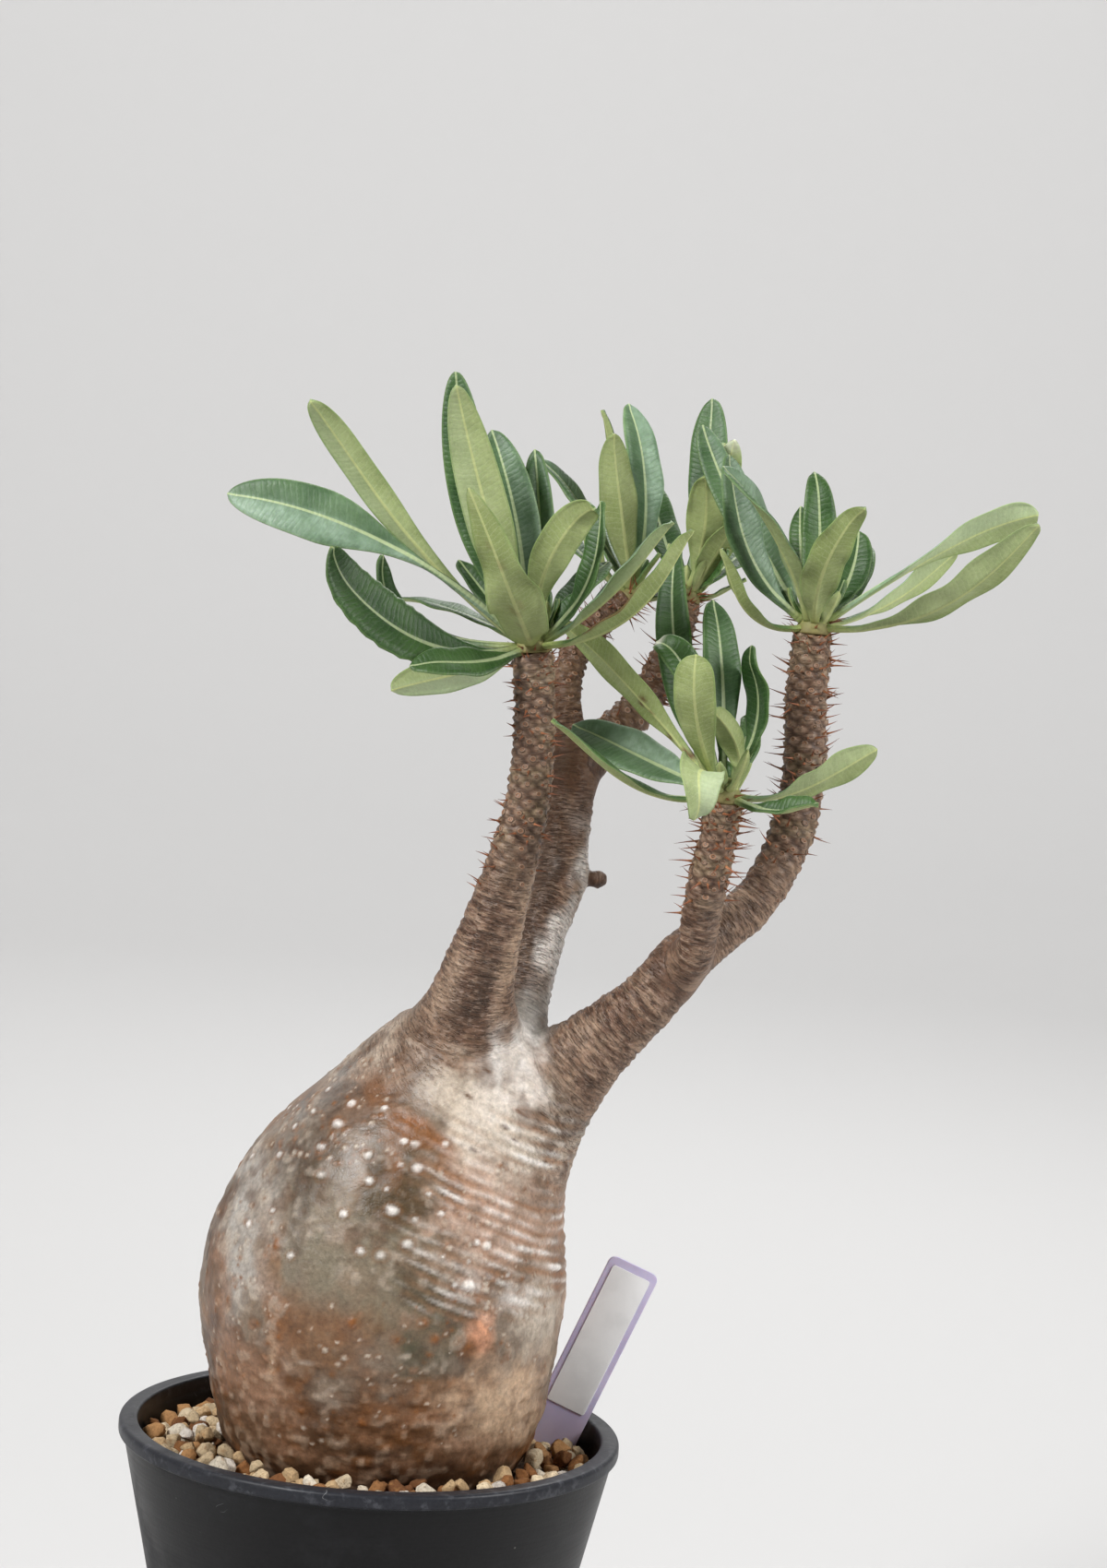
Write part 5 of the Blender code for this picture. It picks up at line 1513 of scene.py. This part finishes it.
def makeLeafMaterial():
    shader = Shader("leafSkin")
    side, tone, share = shader.parts(shader.attribute("leafKind").outputs["Color"])[:3]
    brown, white, paintedSheen = shader.parts(shader.attribute("leafMark").outputs["Color"])[:3]
    place = shader.attribute("leafPlace").outputs["Vector"]
    split = shader.make("ShaderNodeSeparateXYZ", {0: place})
    across, along, edge = split.outputs
    world = shader.objectPlace()
    upper = shader.ramp(side, 0.45, 0.55)
    reach = shader.math("ABSOLUTE", across)
    wobble = shader.noise(world, 420.0, 2.0)
    # Side veins leave the midrib nearly square and lean forward towards the margin
    run = shader.math("MULTIPLY_ADD", reach, -0.3, along)
    run = shader.math("MULTIPLY_ADD", wobble, 1.5, run)
    comb = shader.math("PINGPONG", shader.math("DIVIDE", run, leafLook["veinGap"]), 0.5)
    vein = shader.times(shader.ramp(comb, 0.12, 0.0), shader.ramp(edge, 0.1, 0.7))
    net = shader.ramp(shader.voronoi(world, 1500.0, "DISTANCE_TO_EDGE"), 0.1, 0.0)
    broad = shader.noise(world, 90.0, 3.0, 0.6)
    ribWidth = shader.ramp(share, 0.1, 1.0, 0.62, 0.26)
    rib = shader.ramp(shader.math("DIVIDE", reach, ribWidth), 1.15, 0.6)
    margin = shader.ramp(edge, 0.42, 0.12)

    top = shader.mix(shader.ramp(broad, 0.35, 0.65), (0.02, 0.06, 0.01), (0.043, 0.1, 0.02))
    # Painted sheen: a pale bluish reflection over the upper side
    bloomAndSheen = shader.mix(shader.ramp(broad, 0.3, 0.7), (0.15, 0.235, 0.15), (0.3, 0.4, 0.31))
    sheenShare = shader.math("MULTIPLY_ADD", shader.ramp(wobble, 0.3, 0.7), 0.3, 0.6)
    top = shader.mix(shader.times(paintedSheen, sheenShare), top, bloomAndSheen)
    below = shader.mix(shader.ramp(broad, 0.35, 0.65), (0.215, 0.262, 0.085), (0.3, 0.35, 0.14))
    # Painted sheen over the underside too
    below = shader.over(below, paintedSheen, 0.6, (0.36, 0.43, 0.31))
    for mask, topShare, topTint, belowShare, belowTint in [
        (vein, 0.2, (0.14, 0.22, 0.11), 0.35, (0.38, 0.43, 0.24)),
        (net, 0.12, (0.15, 0.22, 0.12), 0.24, (0.38, 0.42, 0.24)),
        (rib, 0.85, (0.38, 0.45, 0.24), 0.75, (0.44, 0.47, 0.2)),
        (margin, 0.25, (0.24, 0.34, 0.14), 0.35, (0.13, 0.21, 0.06)),
    ]:
        top = shader.over(top, mask, topShare, topTint)
        below = shader.over(below, mask, belowShare, belowTint)

    colour = shader.mix(upper, below, top)
    stalk = shader.ramp(share, 0.15, 0.04)
    colour = shader.over(colour, stalk, 0.7, (0.33, 0.37, 0.12))
    shade = shader.times(tone, 2.0)
    shade = shader.make("ShaderNodeCombineColor", {0: shade, 1: shade, 2: shade}).outputs[0]
    colour = shader.mix(1.0, colour, shade, "MULTIPLY")
    colour, fine = shader.speckle(colour, world, 1300.0, 0.5)
    colour = shader.mix(brown, colour, (0.13, 0.05, 0.018))
    colour = shader.mix(white, colour, (0.75, 0.72, 0.62))

    roughness = shader.math("MULTIPLY_ADD", upper, -0.14, 0.56)
    roughness = shader.math("ADD", roughness, shader.times(fine, 0.1))
    quilt = shader.math("SUBTRACT", 1.0, shader.ramp(comb, 0.34, 0.0))
    height = shader.math("MULTIPLY_ADD", upper, 0.45, 0.25)
    height = shader.times(quilt, shader.times(height, shader.ramp(broad, 0.2, 0.7, 0.4, 1.0)))
    height = shader.math("SUBTRACT", height, shader.times(net, 0.18))
    normal = shader.bump(height, 0.34, 0.00028)
    normal = shader.bump(broad, 0.4, 0.0014, normal)
    shader.set({"Specular IOR Level": 0.4, "Subsurface Weight": 0.12})
    shader.set({"Subsurface Radius": (0.6, 1.0, 0.25), "Subsurface Scale": 0.0016})
    shader.connect(colour, normal, roughness)
    return shader.material


# Gravel, with the measures of pot and label that its grains keep to

gravel = {
    "wallLevel": 93.6,
    "moundLevel": 95.6,
    "moundRadius": 42,
    # The heights where the grains keep clear of the plant, the label and the pot's wall
    "plantAt": 96,
    "labelAt": 95,
    "wallAt": 94,
    "gap": 0.3,
    "fillTop": [(46, 91.4), (30, 91.6), (0, 91.6)],
    "sizes": (1.4, 3.4),
    "stretch": [(0.95, 1.4), (0.85, 1.1), (0.75, 1.0)],
    "tries": 5600,
    "pumice": [
        (0.52, 0.4, 0.25), (0.58, 0.47, 0.32), (0.6, 0.53, 0.42), (0.45, 0.31, 0.17), (0.55, 0.5, 0.44),
    ],
    "clay": [(0.2, 0.085, 0.03), (0.26, 0.12, 0.045), (0.15, 0.062, 0.024), (0.34, 0.18, 0.075)],
    "pumiceShare": 0.55,
    "seed": 5,
}

pot = {
    "height": 100,
    "rimRadius": 60,
    "baseRadius": 37,
    "lipHeight": 3.4,
    "lipStep": 1.2,
    "rimWidth": 4.5,
    "wall": 2.2,
    "floor": 3,
    "drainHoles": 8,
    "drainRing": 24,
    "drainRadius": 3.5,
    "sides": 192,
}

label = {
    "width": 13,
    "length": 82,
    "thickness": 1,
    "corner": 2.2,
    "point": 14,
    "top": (61.4, 15, 139.8),
    "lean": 22.2,
    "stickerWidth": 10,
    "stickerLength": 37,
    "stickerThickness": 0.3,
    "belowTop": 2,
    "stickerCorner": 0.8,
    "gap": 0.04,
    "bevel": 0.16,
    "stickerBevel": 0.05,
}


def potInner(height):
    foot = pot["baseRadius"] - pot["wall"]
    mouth = pot["rimRadius"] - pot["rimWidth"]
    return foot + (mouth - foot) * min(1, height / (pot["height"] - pot["lipHeight"]))


def gravelLevel(radius):
    share = (radius - gravel["moundRadius"]) / (potInner(pot["height"]) - gravel["moundRadius"])
    share = min(1, max(0, share))
    return gravel["moundLevel"] + (gravel["wallLevel"] - gravel["moundLevel"]) * share


def caudexAt(height):
    centre, radius = caudexRows(1)
    row = int(np.searchsorted(centre[:, 2], height * mm).clip(0, len(radius) - 1))
    return centre[row] * 1000, radius[row] * 1000


# Grains dropped one by one, each resting on those below it, in mm
def dropGrains(draw):
    placed = np.zeros((0, 4))
    centre, plantRadius = caudexAt(gravel["plantAt"])
    wallRadius = potInner(gravel["wallAt"])
    drop = label["top"][2] - gravel["labelAt"]
    labelX = label["top"][0] - drop * math.tan(math.radians(label["lean"]))
    for _ in range(gravel["tries"]):
        size = draw.triangular(*gravel["sizes"], 2.2)
        angle = draw.uniform(0, math.tau)
        reach = wallRadius * math.sqrt(draw.random())
        x, y = reach * math.cos(angle), reach * math.sin(angle)
        if reach > wallRadius - size * 0.97:
            continue
        if math.hypot(x - centre[0], (y - centre[1]) / caudexDepth) < plantRadius + size * 0.93:
            continue
        aside = max(0, abs(x - labelX) - label["width"] / 2 - 0.4)
        if math.hypot(aside, y - label["top"][1]) < size * 0.95 + label["thickness"] / 2:
            continue
        top = gravelLevel(reach)
        rest = top - 5.4
        if len(placed):
            across = np.hypot(placed[:, 0] - x, placed[:, 1] - y)
            touch = (placed[:, 3] + size) * 0.86
            near = across < touch
            if near.any():
                rest = max(rest, (placed[near, 2] + np.sqrt(touch[near] ** 2 - across[near] ** 2)).max())
        if rest + size * 0.55 > top + 1.5 + draw.uniform(-0.8, 0.9):
            continue
        placed = np.vstack([placed, (x, y, rest, size)])
    return placed


def sphereArrays(detail):
    shape = bmesh.new()
    bmesh.ops.create_icosphere(shape, subdivisions=detail, radius=1)
    points = np.array([vert.co[:] for vert in shape.verts])
    faces = np.array([[vert.index for vert in face.verts] for face in shape.faces])
    shape.free()
    return points, faces


def makeGravel(material, soilMaterial):
    draw = random.Random(gravel["seed"])
    placed = dropGrains(draw)
    fineBall = sphereArrays(3)
    coarseBall = sphereArrays(2)
    points, faces, colours = [], [], []
    start = 0
    for x, y, z, size in placed:
        onTop = z + size > gravelLevel(math.hypot(x, y)) - 1.5
        ball, corners = fineBall if onTop else coarseBall
        pumice = draw.random() < gravel["pumiceShare"]
        shape = ball * [draw.uniform(*limits) for limits in gravel["stretch"]]
        offset = [draw.uniform(0, 90) for _ in range(3)]
        lumps = layeredNoise(ball + offset, 0.8, 3, 2)
        shape = shape * (1 + lumps * (0.3 if pumice else 0.34))[:, None]
        # Flat broken faces, then a rough skin
        for _ in range(9 if pumice else 6):
            plane = np.array(Vector([draw.gauss(0, 1) for _ in range(3)]).normalized())
            depth = draw.uniform(0.5, 0.82)
            beyond = np.maximum(shape @ plane - depth, 0)
            shape = shape - plane * (beyond * 0.93)[:, None]
        rough = layeredNoise(ball + offset, 0.34, 9, 2)
        shape = shape * (1 + rough * (0.07 if pumice else 0.12))[:, None]
        turn = Quaternion([draw.gauss(0, 1) for _ in range(4)]).normalized()
        shape = shape @ np.array(turn.to_matrix()).T * (size * 1.08) + (x, y, z)
        points.append(shape * mm)
        faces.append(corners + start)
        start += len(shape)
        tint = np.array(draw.choice(gravel["pumice" if pumice else "clay"])) * draw.uniform(0.8, 1.12)
        colours.append(np.tile((*tint, 1.0 if pumice else 0.0), (len(shape), 1)))
    faces = np.vstack(faces)
    mesh = meshFrom("gravelGrains", np.vstack(points), faces)
    addColour(mesh, "grainColour", np.vstack(colours))
    addPiece("gravelGrains", mesh, material, ["gravel"])
    print("gravel", len(placed), "grains", len(faces), "triangles", flush=True)

    # The fill below the grains, in which the plant and the label stand
    inner = potInner(gravel["wallLevel"])
    low = pot["floor"] + gravel["gap"]
    profile = [(0, low), (potInner(low) - gravel["gap"], low), (inner - 0.4, 90.2), (inner - 6, 90.4)]
    fill = turnedMesh("gravelFill", profile + gravel["fillTop"], 96)
    addPiece("gravelFill", fill, soilMaterial, ["gravel"])


def makeGrainMaterial():
    shader = Shader("grain")
    source = shader.attribute("grainColour")
    place = shader.objectPlace()
    pumice = source.outputs["Alpha"]
    mottle = shader.noise(place, 480.0, 3.0, 0.6)
    colour, speck = shader.speckle(source.outputs["Color"], place, 1500.0, 1.2)
    colour = shader.over(colour, shader.ramp(mottle, 0.55, 0.72), 0.5, (0.3, 0.15, 0.055))
    pore = shader.times(shader.ramp(shader.voronoi(place, 1300.0), 0.24, 0.1), pumice)
    colour = shader.over(colour, pore, 0.45, (0.2, 0.12, 0.06))
    height = shader.math("SUBTRACT", speck, shader.times(pore, 0.6))
    shader.set({"Roughness": 0.92, "Specular IOR Level": 0.2})
    normal = shader.bump(height, 0.7, 0.0004)
    shader.connect(colour, shader.bump(mottle, 0.5, 0.0006, normal))
    return shader.material


def makeSoilMaterial():
    shader = Shader("soil")
    place = shader.objectPlace()
    speck = shader.noise(place, 700.0, 4.0, 0.7)
    colour = shader.mix(shader.ramp(speck, 0.3, 0.7), (0.035, 0.018, 0.008), (0.12, 0.065, 0.03))
    shader.set({"Roughness": 0.95})
    shader.connect(colour, shader.bump(speck, 0.8, 0.001))
    return shader.material


# Pot

# A profile's corners rounded by arcs of small steps: each row is (radius, height, rounding)
def roundedProfile(rows, steps=6):
    found = []
    for number, (x, z, rounding) in enumerate(rows):
        corner = Vector((x, z))
        if not rounding or number in (0, len(rows) - 1):
            found.append((x, z))
            continue
        before = (Vector(rows[number - 1][:2]) - corner).normalized()
        after = (Vector(rows[number + 1][:2]) - corner).normalized()
        start, end = corner + before * rounding, corner + after * rounding
        for step in range(steps + 1):
            t = step / steps
            found.append(tuple(start * (1 - t) ** 2 + corner * 2 * t * (1 - t) + end * t**2))
    return found


def makePot(material):
    height, lip = pot["height"], pot["height"] - pot["lipHeight"]
    inner = pot["rimRadius"] - pot["rimWidth"]
    rows = [
        (0, pot["floor"], 0),
        (potInner(pot["floor"]), pot["floor"], 1.2),
        (potInner(lip), lip, 0.5),
        (inner, height, 0.8),
        (pot["rimRadius"], height, 1.3),
        (pot["rimRadius"], lip, 0.7),
        (pot["rimRadius"] - pot["lipStep"], lip, 0.35),
        (pot["baseRadius"], 0, 1.4),
        (0, 0, 0),
    ]
    obj = newObject("potShell", turnedMesh("potShell", roundedProfile(rows), pot["sides"]))
    shape = bmesh.new()
    radius = pot["drainRadius"] * mm
    for number in range(pot["drainHoles"]):
        angle = math.tau * (number + 0.5) / pot["drainHoles"]
        made = bmesh.ops.create_cone(
            shape, cap_ends=True, segments=32, radius1=radius, radius2=radius, depth=0.012
        )
        place = Vector((math.cos(angle), math.sin(angle), 0)) * pot["drainRing"] * mm
        bmesh.ops.translate(shape, verts=made["verts"], vec=place)
    cutMesh = bpy.data.meshes.new("cut")
    shape.to_mesh(cutMesh)
    shape.free()
    cutter = newObject("cut", cutMesh)
    boolean = obj.modifiers.new("Holes", "BOOLEAN")
    boolean.operation = "DIFFERENCE"
    boolean.object = cutter
    boolean.solver = "EXACT"
    mesh = evaluatedMesh(obj)
    bpy.data.objects.remove(cutter)
    mesh.shade_smooth()
    mesh.set_sharp_from_angle(angle=math.radians(40))
    addPiece("potShell", mesh, material, ["pot"])


def makePotMaterial():
    shader = Shader("potPlastic")
    place = shader.objectPlace()
    smudge = shader.noise(place, 38.0, 4.0, 0.62)
    turned = shader.vector("MULTIPLY", place, (60.0, 60.0, 1400.0))
    drawn = shader.noise(turned, 1.0, 2.0)
    dust = shader.ramp(smudge, 0.5, 0.72)
    # Scuffs: short bent lines, only where a second noise allows them
    warp = shader.noise(place, 130.0, 2.0)
    warped = shader.vector("MULTIPLY", place, (120.0, 120.0, 210.0))
    bent = shader.make("ShaderNodeCombineXYZ", {0: warp, 1: 0.0, 2: shader.times(warp, 1.6)}).outputs[0]
    line = shader.math("SUBTRACT", shader.noise(shader.vector("ADD", warped, bent), 1.0, 1.0), 0.5)
    line = shader.ramp(shader.math("ABSOLUTE", line), 0.006, 0.001)
    scuff = shader.times(line, shader.ramp(shader.noise(place, 95.0, 3.0), 0.66, 0.74))
    fleck = shader.ramp(shader.voronoi(place, 260.0), 0.09, 0.03)
    fleck = shader.times(fleck, shader.ramp(shader.noise(place, 60.0, 2.0), 0.55, 0.65))
    height = shader.make("ShaderNodeSeparateXYZ", {0: place}).outputs[2]
    rim = shader.ramp(height, 0.0955, 0.0975)
    # The rim is painted lighter and bluer: partly wear, partly painted reflection
    colour = shader.mix(rim, (0.0055, 0.0055, 0.006), (0.02, 0.021, 0.026))
    colour = shader.over(colour, dust, 0.6, (0.02, 0.0205, 0.023))
    rimWearAndSheen = shader.times(rim, shader.ramp(shader.noise(place, 300.0, 3.0, 0.7), 0.5, 0.7))
    colour = shader.over(colour, rimWearAndSheen, 0.5, (0.085, 0.088, 0.1))
    colour = shader.over(colour, scuff, 0.7, (0.25, 0.25, 0.26))
    colour = shader.over(colour, fleck, 0.6, (0.2, 0.19, 0.17))
    colour, grain = shader.speckle(colour, place, 1100.0, 1.0)
    rough = shader.math("MULTIPLY_ADD", dust, 0.2, 0.33)
    rough = shader.math("MULTIPLY_ADD", drawn, 0.12, rough)
    shader.set({"Specular IOR Level": 0.22})
    normal = shader.bump(drawn, 0.14, 0.0003)
    normal = shader.bump(grain, 0.15, 0.0002, normal)
    shader.connect(colour, normal, rough)
    return shader.material


# Plant label

def labelPiece(name, corners, thickness, belowTop, forward, bevelWidth, material, nodes):
    outline = []
    for number, (corner, rounding) in enumerate(corners):
        corner = Vector(corner)
        before = (Vector(corners[number - 1][0]) - corner).normalized()
        after = (Vector(corners[(number + 1) % len(corners)][0]) - corner).normalized()
        steps = 10 if rounding else 0
        for step in range(steps + 1):
            t = step / steps if steps else 0.5
            start, end = corner + before * rounding, corner + after * rounding
            outline.append(start * (1 - t) ** 2 + corner * 2 * t * (1 - t) + end * t**2)
    shape = bmesh.new()
    front = [shape.verts.new((p.x * mm, -thickness / 2 * mm, p.y * mm)) for p in outline]
    face = shape.faces.new(front)
    made = bmesh.ops.extrude_face_region(shape, geom=[face])
    moved = [item for item in made["geom"] if isinstance(item, bmesh.types.BMVert)]
    bmesh.ops.translate(shape, verts=moved, vec=(0, thickness * mm, 0))
    bmesh.ops.recalc_face_normals(shape, faces=shape.faces)
    sharp = [edge for edge in shape.edges if len(edge.link_faces) == 2 and edge.calc_face_angle() > 1]
    bmesh.ops.bevel(shape, geom=sharp, offset=bevelWidth * mm, segments=3, affect="EDGES", profile=0.5)
    lean = Quaternion((0, 1, 0), math.radians(label["lean"]))
    bmesh.ops.translate(shape, verts=shape.verts, vec=(0, -forward * mm, -belowTop * mm))
    bmesh.ops.rotate(shape, verts=shape.verts, cent=(0, 0, 0), matrix=lean.to_matrix())
    bmesh.ops.translate(shape, verts=shape.verts, vec=Vector(label["top"]) * mm)
    mesh = bpy.data.meshes.new(name)
    shape.to_mesh(mesh)
    shape.free()
    mesh.shade_smooth()
    mesh.set_sharp_from_angle(angle=math.radians(40))
    addPiece(name, mesh, material, nodes)


def makeLabel(stakeMaterial, stickerMaterial):
    half = label["width"] / 2
    shoulder = -label["length"] + label["point"]
    corners = [
        ((-half, 0), label["corner"]),
        ((-half, shoulder), 0),
        ((-half * 0.2, -label["length"]), 0),
        ((half * 0.2, -label["length"]), 0),
        ((half, shoulder), 0),
        ((half, 0), label["corner"]),
    ]
    labelPiece(
        "labelStake", corners, label["thickness"], 0, 0, label["bevel"],
        stakeMaterial, ["label_stake"],
    )
    half = label["stickerWidth"] / 2
    corners = [
        ((-half, 0), label["stickerCorner"]),
        ((-half, -label["stickerLength"]), label["stickerCorner"]),
        ((half, -label["stickerLength"]), label["stickerCorner"]),
        ((half, 0), label["stickerCorner"]),
    ]
    forward = label["thickness"] / 2 + label["gap"] + label["stickerThickness"] / 2
    labelPiece(
        "labelSticker", corners, label["stickerThickness"], label["belowTop"], forward,
        label["stickerBevel"], stickerMaterial, ["label_sticker"],
    )


def makeStakeMaterial():
    shader = Shader("stakePlastic")
    place = shader.objectPlace()
    grain = shader.noise(place, 900.0, 3.0)
    smudge = shader.noise(place, 120.0, 3.0)
    colour = shader.mix(shader.ramp(smudge, 0.35, 0.7), (0.5, 0.46, 0.66), (0.58, 0.54, 0.73))
    height = shader.make("ShaderNodeSeparateXYZ", {0: place}).outputs[2]
    colour = shader.over(colour, shader.ramp(height, 0.106, 0.094), 0.45, (0.36, 0.27, 0.24))
    rough = shader.math("MULTIPLY_ADD", grain, 0.14, 0.3)
    shader.set({"Subsurface Weight": 0.15, "Subsurface Scale": 0.003})
    shader.connect(colour, shader.bump(grain, 0.08, 0.0002), rough)
    return shader.material


def makeStickerMaterial():
    shader = Shader("stickerPaper")
    place = shader.objectPlace()
    fibre = shader.noise(place, 1800.0, 4.0, 0.65)
    smudge = shader.noise(place, 160.0, 3.0)
    colour = shader.mix(shader.ramp(smudge, 0.4, 0.75), (0.9, 0.9, 0.9), (0.83, 0.83, 0.83))
    colour = shader.over(colour, shader.ramp(fibre, 0.6, 0.8), 0.15, (0.6, 0.58, 0.55))
    shader.set({"Roughness": 0.42})
    shader.connect(colour, shader.bump(fibre, 0.12, 0.0002))
    return shader.material


makeCamera()
makeStudio()
speckleGroup = makeSpeckleGroup()
stems = {name: branchStations(points, 1) for name, points in branches.items()}
stemSurface = makeBody(makeBarkMaterial())
makeSpines(makeSpineMaterial(), stemSurface)
leafMaterial = makeLeafMaterial()
for headName, headLeaves in heads.items():
    makeHead(headName, headLeaves, leafMaterial)
makeGravel(makeGrainMaterial(), makeSoilMaterial())
makePot(makePotMaterial())
makeLabel(makeStakeMaterial(), makeStickerMaterial())
bpy.context.scene.view_settings.view_transform = "Standard"
